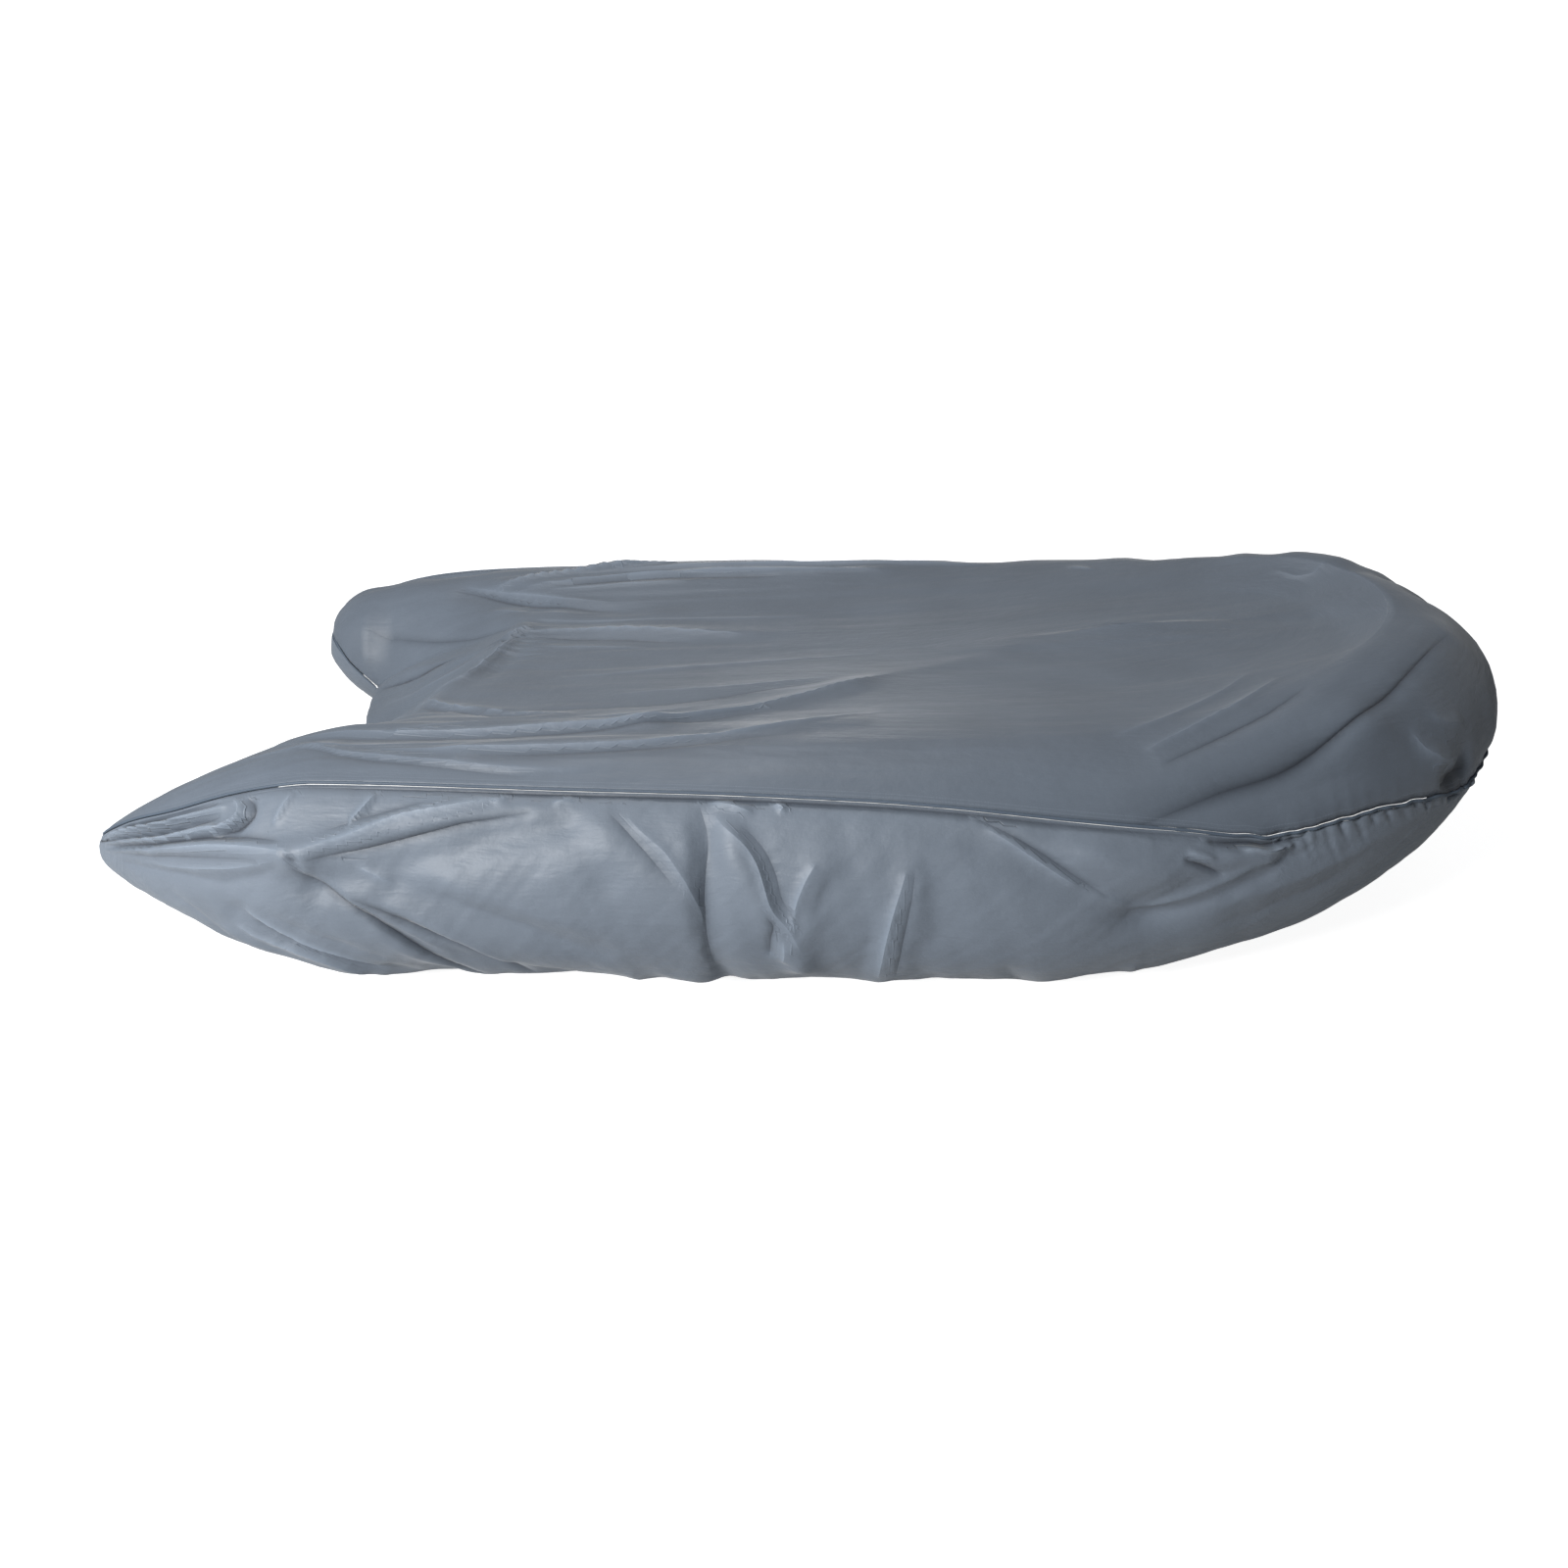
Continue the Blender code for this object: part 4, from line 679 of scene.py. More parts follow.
def seam(side, step):
    """The seam from the notch, round the stern tip and along the outside to the bow: middle of the
    seam cord, edge of the top cloth and edge of the side band, TRIM to either side of it. The band
    keeps a little further off where the seam bends round the tip. At the bow the gathered seam
    strays a little, up and down and in and out."""
    prong, rows = prong_rows(side, step), rows_along(side, step)
    along = np.concatenate([prong[::-1], rows])
    off = 1.0 + TIP_ROOM * np.exp(-(along - PRONG[side]["tip"]) / TIP_FADE)
    angle = np.concatenate([inner_seam(side, prong)[::-1], outer_seam(side, rows)])
    point = on_side(side, along, angle[:, None])[:, 0]
    outward = side_at(side, along)[1] * np.cos(angle)[:, None]
    normal = np.concatenate([outward, np.sin(angle)[:, None]], 1)
    count = len(prong)
    tip = 0.5 * (point[count - 1] + point[count])
    tip[0] = PRONG[side]["tip"]
    point = np.insert(point, count, tip, 0)
    normal = np.insert(normal, count, TIP_FACING, 0)
    off = np.insert(off, count, 1.0 + TIP_ROOM)[:, None]
    relax(point, count)
    relax(normal, count)
    normal /= np.linalg.norm(normal, axis=1)[:, None]
    step_out = np.diff(point, axis=0)
    step_out /= np.linalg.norm(step_out, axis=1)[:, None]
    step_out = np.concatenate([step_out[:1], step_out, step_out[-1:]], 0)
    tangent = 0.5 * (step_out[:-1] + step_out[1:])
    tangent[-1] = (0.0, -side, 0.0)
    straight = np.linalg.norm(tangent, axis=1)[:, None]
    across = -side * np.cross(normal, tangent / straight)
    across /= np.linalg.norm(across, axis=1)[:, None]
    place = np.insert(along, count, PRONG[side]["tip"])
    gathered = (np.clip((place - WANDER_START) / WANDER_FADE[0], 0.0, 1.0)
                * np.clip((rows[-1] - place) / WANDER_FADE[1], 0.0, 1.0))[:, None]
    gathered[:count + 1] = 0.0
    stray = soft_noise(place, 0.0, WANDER_CELL, 1.0, 41)[:, None] * SEAM_WANDER * gathered
    drift = 3 * soft_noise(place, 0.0, SCALLOP_DRIFT, 1.0, 42)
    lift = np.sin(2 * pi * place / SCALLOP_LENGTH + drift)[:, None]
    point = point + stray * across + lift * SEAM_SCALLOP * gathered * normal
    across = across * TRIM
    return (point + WELT_PROUD * normal, point + across / np.maximum(straight, TOP_BEND),
            point - across * off / np.maximum(straight, BAND_BEND))


def angle_of(side, along, point):
    """Angle up from level of points near the round side, from -90 to 270 degrees."""
    centre, normal, _, height = side_at(side, along)
    out = ((point[:, :2] - centre) * normal).sum(1)
    return np.mod(np.arctan2(point[:, 2] - height, out) + pi / 2, 2 * pi) - pi / 2


def over_side(side, along, start, end, columns):
    """Top cloth over the round side between two angles, with the folds that cross it."""
    share = np.linspace(0.0, 1.0, columns + 1)[None, :]
    angle = start[:, None] + (end - start)[:, None] * share
    plain = on_side(side, along, angle)
    room = np.minimum(np.abs(angle - outer_seam(side, along)[:, None]) / SEAM_CLEAR, 1.0)
    lift = fold_height(plain[..., 0], plain[..., 1], TOP_FOLDS) * room ** 2
    return on_side(side, along, angle, lift)


def crown(side, along, edge):
    """Cloth from its outer edge at the seam up to the crest of the side."""
    cloth = over_side(side, along, angle_of(side, along, edge), np.full(len(along), pi / 2),
                      CROWN_COLUMNS)
    cloth[:, 0] = edge
    return cloth


def inner_crown(side, along, edge):
    """Cloth from a prong's crest down to its inner edge at the seam."""
    cloth = over_side(side, along, np.full(len(along), pi / 2), angle_of(side, along, edge),
                      VALLEY_COLUMNS)
    cloth[:, -1] = edge
    return cloth


def deck(side, along):
    """Cloth from the crest in to the middle line: down to the valley by a power of the way there,
    then up a slack flat that rises as 1 - (1 - t)^2."""
    centre, _, radius, height = side_at(side, along)
    top = (height + radius)[:, None]
    middle_x, middle_z = (through(MIDDLE, name, along)[:, None] for name in "xz")
    valley, drop, hug = (through(VALLEY[side], name, along)[:, None]
                         for name in ("in", "drop", "hug"))
    valley_z = top - (top - middle_z) * drop
    first = np.linspace(0.0, 1.0, VALLEY_COLUMNS + 1)[None, :]
    second = np.linspace(0.0, 1.0, DECK_COLUMNS + 1)[None, 1:]
    share = np.concatenate([first * valley, valley + second * (1.0 - valley)], 1)
    z = np.concatenate([top - (top - valley_z) * first ** hug,
                        valley_z + (middle_z - valley_z) * (1.0 - (1.0 - second) ** 2)], 1)
    x = centre[:, :1] + (middle_x - centre[:, :1]) * share ** SWEEP
    y = centre[:, 1:] * (1.0 - share)
    return np.stack([x, y, z + fold_height(x, y, TOP_FOLDS)], -1)


def top_grids(side, step):
    """The panel's two blocks on one side: the tongue over the prong, and the deck, which takes on
    the tongue's last section over a short blend."""
    prong, rows = prong_rows(side, step), rows_along(side, step)
    edge = seam(side, step)[1]
    inner_edge, tip, outer_edge = np.split(edge, [len(prong), len(prong) + 1])
    main = rows[len(prong) - 1:]
    tongue = np.concatenate([crown(side, prong, outer_edge[:len(prong)]),
                             inner_crown(side, prong, inner_edge[::-1])[:, 1:]], 1)
    tongue = np.concatenate([np.broadcast_to(tip, (1,) + tongue.shape[1:]), tongue], 0)
    body = np.concatenate([crown(side, main, outer_edge[len(prong) - 1:]),
                           deck(side, main)[:, 1:]], 1)
    width = tongue.shape[1]
    after = np.searchsorted(main, NOTCH + BLEND)
    share = ((main[:after] - NOTCH) / (main[after] - NOTCH))[:, None, None]
    inner = slice(CROWN_COLUMNS, width)
    body[:after, inner] = (1.0 - share) * tongue[-1, inner] + share * body[after, inner]
    body[0, :width] = tongue[-1]
    return tongue, body


def hem_swing(side, along, down):
    """The hem's scallops: bells along the hem that grow with the cube of the way down."""
    rows = SCALLOPS[side]
    wave = sum(swing * np.exp(-((along - place) / width) ** 2)
               for place, width, swing in zip(rows["along"], rows["width"], rows["swing"]))
    return wave[:, None] * down ** 3


def outer_band(side, along, edge, folds, columns):
    """Side band over the outside of the hull, from its edge at the seam to the hem."""
    down = np.linspace(0.0, 1.0, columns + 1)[None, :]
    start = angle_of(side, along, edge)[:, None]
    hem = np.radians(through(HEM, "angle", along))[:, None]
    lift = fold_height(along[:, None], down * BAND_DROP,
                       {name: (a, b * BAND_DROP, c, d * BAND_DROP, w, h)
                        for name, (a, b, c, d, w, h) in folds.items()})
    radius = side_at(side, along)[2][:, None]
    room = np.minimum(down / FOLD_CLEAR, 1.0) ** 2 * np.minimum(radius / TUBE, 1.0)
    cloth = on_side(side, along, start + (hem - start) * down,
                    (lift + hem_swing(side, along, down)) * room)
    cloth[:, 0] = edge
    return cloth


def stern_band(side, step, edge, folds, columns):
    """Side band from the notch along the prong's inner side and round its tip, seam to hem."""
    prong = prong_rows(side, step)
    inner_edge, tip_edge, outer_edge = np.split(edge, [len(prong), len(prong) + 1])
    down = np.linspace(0.0, 1.0, columns + 1)[None, :]
    start = angle_of(side, prong, inner_edge[::-1])[:, None]
    end = pi - np.radians(through(HEM, "angle", prong))[:, None]
    inner = on_side(side, prong, start + (end - start) * down)
    inner[:, 0] = inner_edge[::-1]
    first = outer_band(side, prong[:1], outer_edge[:1], folds, columns)[0]
    tip = 0.5 * (inner[0] + first)
    tip[:, 0] += PRONG[side]["tip"] - prong[0]
    tip += (tip_edge[0] - tip[0]) * (1.0 - down[0])[:, None] ** 2
    return np.concatenate([inner[::-1], tip[None]], 0)


def facing(points, outward):
    """Unit normals of a grid from its slopes along both directions, turned to point outwards. A
    small share of the outward direction keeps them steady where both slopes run the same way."""
    slopes = np.gradient(points, axis=0), np.gradient(points, axis=1)
    normal = np.cross(*slopes)
    if (normal * outward).sum() < 0.0:
        normal = -normal
    spread = np.linalg.norm(slopes[0], axis=2) * np.linalg.norm(slopes[1], axis=2)
    outward = np.broadcast_to(outward, points.shape)
    normal = normal + (STEADY * spread / np.linalg.norm(outward, axis=2))[..., None] * outward
    return normal / np.maximum(np.linalg.norm(normal, axis=2), 1e-12)[..., None]


def arc(points, axis):
    """Distance along a grid's lines from its first row or column."""
    step = np.linalg.norm(np.diff(points, axis=axis), axis=2)
    start = np.zeros_like(step[:1] if axis == 0 else step[:, :1])
    return np.concatenate([start, np.cumsum(step, axis=axis)], axis)


def pucker_height(side, along, down):
    """Gathers at the seam: narrow gutters side by side, each of its own length and depth, that
    taper away from the seam. Across, a gutter falls off as the exponential of the power 1.3 of the
    distance over its width; down the cloth, as that of the power 1.6."""
    total = np.zeros(np.broadcast(along, down).shape)
    for row, (first, last, spacing, reach, height) in enumerate(PUCKERS[side]):
        pick = np.random.default_rng(50 + row).uniform(0.0, 1.0, (3, PUCKER_KINDS))
        drift = PUCKER_DRIFT * spacing * soft_noise(along, 0.0, PUCKER_CELL, 1.0, 5)
        place = (along + drift - PUCKER_LEAN * down) / spacing
        nearest = np.round(place).astype(int)
        length, depth = (pick[k][nearest % PUCKER_KINDS] for k in (0, 1))
        off = np.abs(place - nearest) * 2
        narrow = 0.25 + 0.75 * np.clip(1.0 - down / (reach * (0.6 + 1.1 * length)), 0.0, 1.0)
        gutter = np.exp(-(off / (0.42 * narrow)) ** 1.3)
        fade = (np.clip((along - first) / PUCKER_FADE, 0, 1)
                * np.clip((last - along) / PUCKER_FADE, 0, 1))
        total = total - (height * (0.35 + 0.8 * depth) * fade * (gutter - 0.3)
                         * np.exp(-(down / (reach * (0.4 + 0.9 * length))) ** 1.6))
    return total


def drawn_lines(x, y):
    """Noise drawn out along the cover and swaying from side to side: broad lines and fine ones."""
    return (soft_noise(x + 0.5 * y, y + 0.04 * np.sin(2.2 * x), 0.55, 0.030, 11),
            soft_noise(x, y + 0.03 * np.sin(3.1 * x + 1.0), 0.30, 0.013, 12))


def top_detail(side, points, along):
    """Height and crease lines of the fine forms on the top panel: creases, tension lines that are
    strongest at the stern, ripples ahead of the stern board, puckers at the seam and slow
    slackness. Nothing moves at the sewn edge, and the cloth lies calm round the crest of the bow."""
    x, y = points[..., 0], points[..., 1]
    edge = arc(points, 1)
    lines, fine = drawn_lines(x, y)
    stern = np.exp(-np.maximum(x - STERN_PULL[0], 0.0) / STERN_PULL[1])
    place, length, width, spacing, depth = BOARD_RIPPLES
    gather = np.exp(-((x - place) / length) ** 2) * np.exp(-(y / width) ** 4)
    ripples = np.sin(2 * pi * (y + 0.010 * np.sin(9 * x)) / spacing) * depth
    folded, line = creases(x, y, TOP_CREASES)
    calm = np.clip(np.hypot(x - BOW_CREST, y) / BOW_CALM, 0.0, 1.0) ** 2
    height = (folded + lines * (TENSION[0] + TENSION[1] * stern)
              + fine * (TENSION_FINE[0] + TENSION_FINE[1] * stern)
              + gather * ripples + layers(x, y, TOP_SLACK)) * calm
    puckers = pucker_height(side, along, edge) * TOP_GATHER
    return (height * np.clip(edge / DECK_CLEAR, 0.0, 1.0) ** 1.3
            + puckers * np.clip(edge / PUCKER_CLEAR, 0.0, 1.0)), line


def tongue_detail(side, points, along):
    """Fine forms on the tongue over a prong: the top panel's, kept off all its sewn edges."""
    x, y = points[..., 0], points[..., 1]
    edge = arc(points, 1)
    room = np.clip(np.minimum(edge, edge[:, -1:] - edge) / PRONG_CLEAR, 0.0, 1.0) ** 1.5
    lines, fine = drawn_lines(x, y)
    folded, line = creases(x, y, TOP_CREASES)
    return (folded + layers(x, y, TOP_SLACK) + lines * TENSION[2]
            + fine * TENSION_FINE[2]) * room, line


def band_detail(side, along, down, rows, radius):
    """Height and crease lines of the fine forms on a side band: creases, puckers at the seam, slow
    slackness, crumples, and the turned-up hem, a double layer that is a little proud, with a step
    of the form 1 / (1 + e^x), and puckered by its stitching."""
    drop = down * BAND_DROP
    pull = (layers(along, drop, BAND_PULL[:1]) * (0.4 + down)
            + layers(along, drop, BAND_PULL[1:]))
    slow = np.clip(0.5 + soft_noise(along, drop, 0.45, 0.35, 28), 0.0, 1.0)
    crumple = layers(along, drop, BAND_CRUMPLE, np.abs) * slow
    room = np.clip(drop / BAND_CLEAR, 0.0, 1.0) * np.clip(radius / (0.35 * TUBE), 0.0, 1.0)
    hem_off = (1.0 - down) * BAND_DROP
    hem = HEM_PROUD / (1.0 + np.exp((hem_off - HEM_WIDTH) / HEM_STEP))
    ruffle = layers(along, 0.0, HEM_RUFFLE) * np.exp(-(hem_off / RUFFLE_REACH) ** 1.5)
    folded, line = creases(along, drop, rows, BAND_DROP)
    return ((folded + layers(along, drop, BAND_SWAY) + pull + crumple) * room + hem + ruffle
            + pucker_height(side, along, drop) * np.clip(drop / PUCKER_CLEAR, 0.0, 1.0)), line


def coordinates(along, off):
    """Cloth coordinates: places along, repeated over the columns, and distances off."""
    return np.stack([np.broadcast_to(along, off.shape), off], -1)


def top_blocks(step):
    """All four blocks of the top panel with their fine forms, meeting exactly: a list of grids of
    points, cloth coordinates, distances along and from the sewn edge, and crease lines."""
    blocks = []
    for side in (NEAR, FAR):
        prong, rows = prong_rows(side, step), rows_along(side, step)
        places = (np.concatenate([[PRONG[side]["tip"]], prong]), rows[len(prong) - 1:])
        pair, lines = [], []
        for grid, along, detail in zip(top_grids(side, step), places, (tongue_detail, top_detail)):
            shift, line = detail(side, grid, along[:, None])
            pair.append(grid + facing(grid, np.array([0.0, 0.0, 1.0])) * shift[..., None])
            lines.append(line)
        pair[1][0, :pair[0].shape[1]] = pair[0][-1]
        for moved, along, line in zip(pair, places, lines):
            edge = arc(moved, 1)
            blocks.append([moved, coordinates(along[:, None], side * (1.0 - edge)),
                           coordinates(along[:, None], edge), line])
    near_body, far_body = blocks[1][0], blocks[3][0]
    near_body[:, -1] = far_body[:, -1] = 0.5 * (near_body[:, -1] + far_body[:, -1])
    near_body[-1] = far_body[-1] = 0.5 * (near_body[-1] + far_body[-1])
    inner = (slice(0, -1), slice(0, -1), 1)
    near_body[inner] = np.minimum(near_body[inner], -MIDDLE_KEEP)
    far_body[inner] = np.maximum(far_body[inner], MIDDLE_KEEP)
    return blocks


def band_blocks(side, step):
    """A side band's one block with its fine forms: points, cloth coordinates, distances along and
    from the hem, and crease lines. The far band goes on round the bow to the near shoulder."""
    columns = BAND_COLUMNS[side]
    down = np.linspace(0.0, 1.0, columns + 1)[None, :]
    prong = prong_rows(side, step)
    stern_places = np.concatenate([prong[::-1], [PRONG[side]["tip"]]])
    edge = seam(side, step)[2]
    rows, near_rows = rows_along(side, step), rows_along(NEAR, step)
    outer = edge[len(edge) - len(rows):]
    if side == NEAR:
        keep = rows <= PUCKER + SAME
        pieces = [(stern_band(NEAR, step, edge, NEAR_FOLDS, columns), NEAR, stern_places,
                   NO_CREASES),
                  (outer_band(NEAR, rows[keep], outer[keep], NEAR_FOLDS, columns), NEAR,
                   rows[keep], NEAR_CREASES)]
    else:
        near_edge = seam(NEAR, step)[2]
        near_edge = near_edge[len(near_edge) - len(near_rows):]
        bow = near_rows >= PUCKER - SAME
        round_bow = outer_band(NEAR, near_rows[bow], near_edge[bow], {}, columns)[-2::-1]
        pieces = [(stern_band(FAR, step, edge, FAR_FOLDS, columns), FAR, stern_places, NO_CREASES),
                  (outer_band(FAR, rows, outer, FAR_FOLDS, columns), FAR, rows, FAR_CREASES),
                  (round_bow, NEAR, near_rows[bow][-2::-1], NEAR_CREASES)]
    points = np.concatenate([grid for grid, _, _, _ in pieces], 0)
    details = [band_detail(which, along[:, None], down, rows, side_at(which, along)[2][:, None])
               for _, which, along, rows in pieces]
    height, line = (np.concatenate(part, 0) for part in zip(*details))
    outward = (points - (ORIGIN_X, 0.0, 0.0)) * (1.0, 1.0, 0.0)
    points = points + facing(points, outward) * height[..., None]
    end = points[-2] - points[-1]
    points[-1] += end * 0.5 * GAP / np.linalg.norm(end[0])
    run = arc(points, 0)[:, columns // 2][:, None]
    drop = arc(points, 1)
    return [[points, coordinates(run, drop), coordinates(run, drop[:, -1:] - drop), line]]


def welt_lines(step):
    """Middle lines of the two seam cords, parted at the pucker."""
    near, far = seam(NEAR, step)[0], seam(FAR, step)[0]
    ahead = np.count_nonzero(rows_along(NEAR, step) > PUCKER + SAME)
    aft_part, bow_part = near[:len(near) - ahead].copy(), near[len(near) - ahead - 1:].copy()
    for line in (aft_part[::-1], bow_part):
        line[0] += (line[1] - line[0]) * GAP / np.linalg.norm(line[1] - line[0])
    return aft_part, np.concatenate([far, bow_part[-2::-1]], 0)


def deck_height():
    """Height of the deck cloth on the middle line at ORIGIN_X, from the frame's even rows."""
    rows = np.linspace(NOTCH, PUCKER, 50)
    middle = deck(NEAR, rows)[:, -1]
    return float(np.interp(ORIGIN_X, middle[:, 0], middle[:, 2]))


def zero():
    """Hull place of the part's zero: on the middle line, at the underside of the deck cloth."""
    return np.array([ORIGIN_X, 0.0, deck_height() - SOLID_CLOTH])


# ---- meshes ----------------------------------------------------------------------------------
def cells(index):
    """The four corners of each cell of a grid of point numbers."""
    return np.stack([index[:-1, :-1], index[1:, :-1], index[1:, 1:], index[:-1, 1:]],
                    -1).reshape(-1, 4)


def closed_ring(rows, sides):
    """Point numbers of rows of rings, the first column again at the end."""
    index = np.arange(rows * sides).reshape(rows, sides)
    return np.concatenate([index, index[:, :1]], 1)


def make_mesh(name, points, faces, maps, turn=True):
    """Smooth mesh from points and faces, with a UV map for each table of values by point. Points
    that fall together become one, and faces are turned the same way, outwards if closed."""
    mesh = bpy.data.meshes.new(name)
    mesh.from_pydata(points.tolist(), [], faces)
    corners = np.empty(len(mesh.loops), dtype=np.int32)
    mesh.loops.foreach_get("vertex_index", corners)
    for label, values in maps.items():
        mesh.uv_layers.new(name=label).data.foreach_set("uv", values[corners].ravel())
    work = bmesh.new()
    work.from_mesh(mesh)
    bmesh.ops.remove_doubles(work, verts=work.verts[:], dist=SAME)
    bmesh.ops.dissolve_degenerate(work, edges=work.edges[:], dist=SAME)
    if turn:
        bmesh.ops.recalc_face_normals(work, faces=work.faces[:])
    work.to_mesh(mesh)
    work.free()
    mesh.shade_smooth()
    return mesh


def place_item(name, data):
    """An object at the origin, in the scene's own collection."""
    item = bpy.data.objects.new(name, data)
    bpy.context.scene.collection.objects.link(item)
    return item


def cloth_item(name, blocks, thickness, upward):
    """One cloth from grids of outer points, joined where they meet, with its thickness inwards.
    Its faces are turned away from the middle of the hull, the top panel's also upwards."""
    points = np.concatenate([block[0].reshape(-1, 3) for block in blocks]) - zero()
    faces, base = [], 0
    for block in blocks:
        rows, columns = block[0].shape[:2]
        faces.append(cells(base + np.arange(rows * columns).reshape(rows, columns)))
        base += rows * columns
    maps = {label: np.concatenate([block[k].reshape(-1, 2) for block in blocks])
            for k, label in enumerate(("Cloth", "Rim", "Creases"), 1)}
    mesh = make_mesh(name, points, np.concatenate(faces).tolist(), maps)
    normals, centres = np.empty((2, len(mesh.polygons) * 3))
    mesh.polygons.foreach_get("normal", normals)
    mesh.polygons.foreach_get("center", centres)
    outward = centres.reshape(-1, 3) * (1.0, 1.0, 0.0) + (0.0, 0.0, upward)
    if (normals.reshape(-1, 3) * outward).sum() < 0.0:
        mesh.flip_normals()
    item = place_item(name, mesh)
    solid = item.modifiers.new("Cloth", "SOLIDIFY")
    solid.thickness = thickness
    solid.offset = -1.0
    return item


def cord_item(name, line, radius):
    """Seam cord: a ring carried along the line, swelling and thinning a little, its radius falling
    at both ends with the square root of the distance to the end."""
    along = np.gradient(line, axis=0)
    along /= np.linalg.norm(along, axis=1)[:, None]
    across = np.cross(along, (0.0, 0.0, 1.0))
    across /= np.linalg.norm(across, axis=1)[:, None]
    up = np.cross(across, along)
    turn = np.arange(WELT_SIDES) * 2 * pi / WELT_SIDES
    run = np.concatenate([[0.0], np.cumsum(np.linalg.norm(np.diff(line, axis=0), axis=1))])
    girth = radius * (0.93 + 0.07 * soft_noise(run, 0.0, 0.017, 1.0, 31))
    from_end = np.minimum(run, run[-1] - run)
    girth = girth * np.sqrt(np.clip(from_end / WELT_END, 0.12, 1.0))
    ring = line[:, None] + girth[:, None, None] * (
        across[:, None] * np.cos(turn)[None, :, None] + up[:, None] * np.sin(turn)[None, :, None])
    index = closed_ring(len(line), WELT_SIDES)
    ends = [index[0, :-1].tolist(), index[-1, :-1].tolist()]
    wrap = np.stack([np.repeat(run, WELT_SIDES), np.tile(turn * radius, len(line))], 1)
    return place_item(name, make_mesh(name, ring.reshape(-1, 3) - zero(),
                                      cells(index.T).tolist() + ends, {"Cloth": wrap}))


# ---- materials -------------------------------------------------------------------------------
def give(tree, value, socket):
    """Links an output to a socket, or writes a plain value on it."""
    if isinstance(value, bpy.types.NodeSocket):
        tree.links.new(value, socket)
    else:
        socket.default_value = value


def add(tree, kind, **values):
    """One node with values or links for its inputs, named as in Blender."""
    node = tree.nodes.new("ShaderNode" + kind)
    for label, value in values.items():
        give(tree, value, node.inputs[label])
    return node


def maths(tree, operation, *values, clamp=False):
    """One Math node on sockets or plain numbers; returns its result."""
    node = tree.nodes.new("ShaderNodeMath")
    node.operation = operation
    node.use_clamp = clamp
    for k, value in enumerate(values):
        give(tree, value, node.inputs[k])
    return node.outputs[0]


def noise(tree, vector, scale, detail=2.0, roughness=0.5):
    """One Noise node; returns its value from 0 to 1."""
    return add(tree, "TexNoise", Vector=vector, Scale=scale, Detail=detail,
               Roughness=roughness).outputs["Fac"]


def split(tree, vector):
    """The parts of a vector."""
    return add(tree, "SeparateXYZ", Vector=vector).outputs


def uv_map(tree, name):
    """A piece's own UV map."""
    node = tree.nodes.new("ShaderNodeUVMap")
    node.uv_map = name
    return node.outputs[0]


def ramp(tree, value, *stops):
    """Colour ramp through stops of place and colour."""
    node = add(tree, "ValToRGB", Fac=value)
    first, *middle, last = stops
    elements = node.color_ramp.elements
    for element, (place, colour) in zip(elements, (first, last)):
        element.position, element.color = place, (*colour, 1.0)
    for place, colour in middle:
        elements.new(place).color = (*colour, 1.0)
    return node.outputs["Color"]


def mix(tree, blend, factor, first, second):
    """Colours mixed by a factor, in the named way."""
    node = tree.nodes.new("ShaderNodeMix")
    node.data_type = "RGBA"
    node.blend_type = blend
    for label, value in (("Factor", factor), ("A", first), ("B", second)):
        give(tree, value, node.inputs[label])
    return node.outputs["Result"]


def new_group(name, inputs, outputs):
    """An empty node group with its sockets: inputs as names and start values, None for a vector,
    outputs as names. Returns the group, what comes in, and a call that sends a value out."""
    group = bpy.data.node_groups.new(name, "ShaderNodeTree")
    for label, value in inputs.items():
        kind = "NodeSocketVector" if value is None else "NodeSocketFloat"
        socket = group.interface.new_socket(name=label, in_out="INPUT", socket_type=kind)
        if value is not None:
            socket.default_value = value
    for label in outputs:
        group.interface.new_socket(name=label, in_out="OUTPUT", socket_type="NodeSocketFloat")
    coming, going = group.nodes.new("NodeGroupInput"), group.nodes.new("NodeGroupOutput")
    return group, coming.outputs, lambda label, value: give(group, value, going.inputs[label])


def weave_group():
    """Coated weave: the product of two sine waves a thread apart, one for each way of the cloth,
    with fine crinkle. Puts out a height and an uneven tone, both from 0 to 1."""
    group, coming, send = new_group("Coated weave", {"Cloth": None, "Thread": 0.0011},
                                    ("Height", "Tone"))
    place = split(group, coming["Cloth"])
    waves = [maths(group, "SINE", maths(
        group, "DIVIDE", maths(group, "MULTIPLY", place[way], 2 * pi), coming["Thread"]))
        for way in "XY"]
    crossed = maths(group, "MULTIPLY_ADD", maths(group, "MULTIPLY", *waves), 0.25, 0.5)
    crinkle = noise(group, coming["Cloth"], 190.0, 3.0, 0.6)
    send("Height", maths(group, "MULTIPLY_ADD", crinkle, 0.55,
                         maths(group, "MULTIPLY", crossed, 0.45)))
    send("Tone", noise(group, coming["Cloth"], 5.5, 4.0, 0.55))
    return group


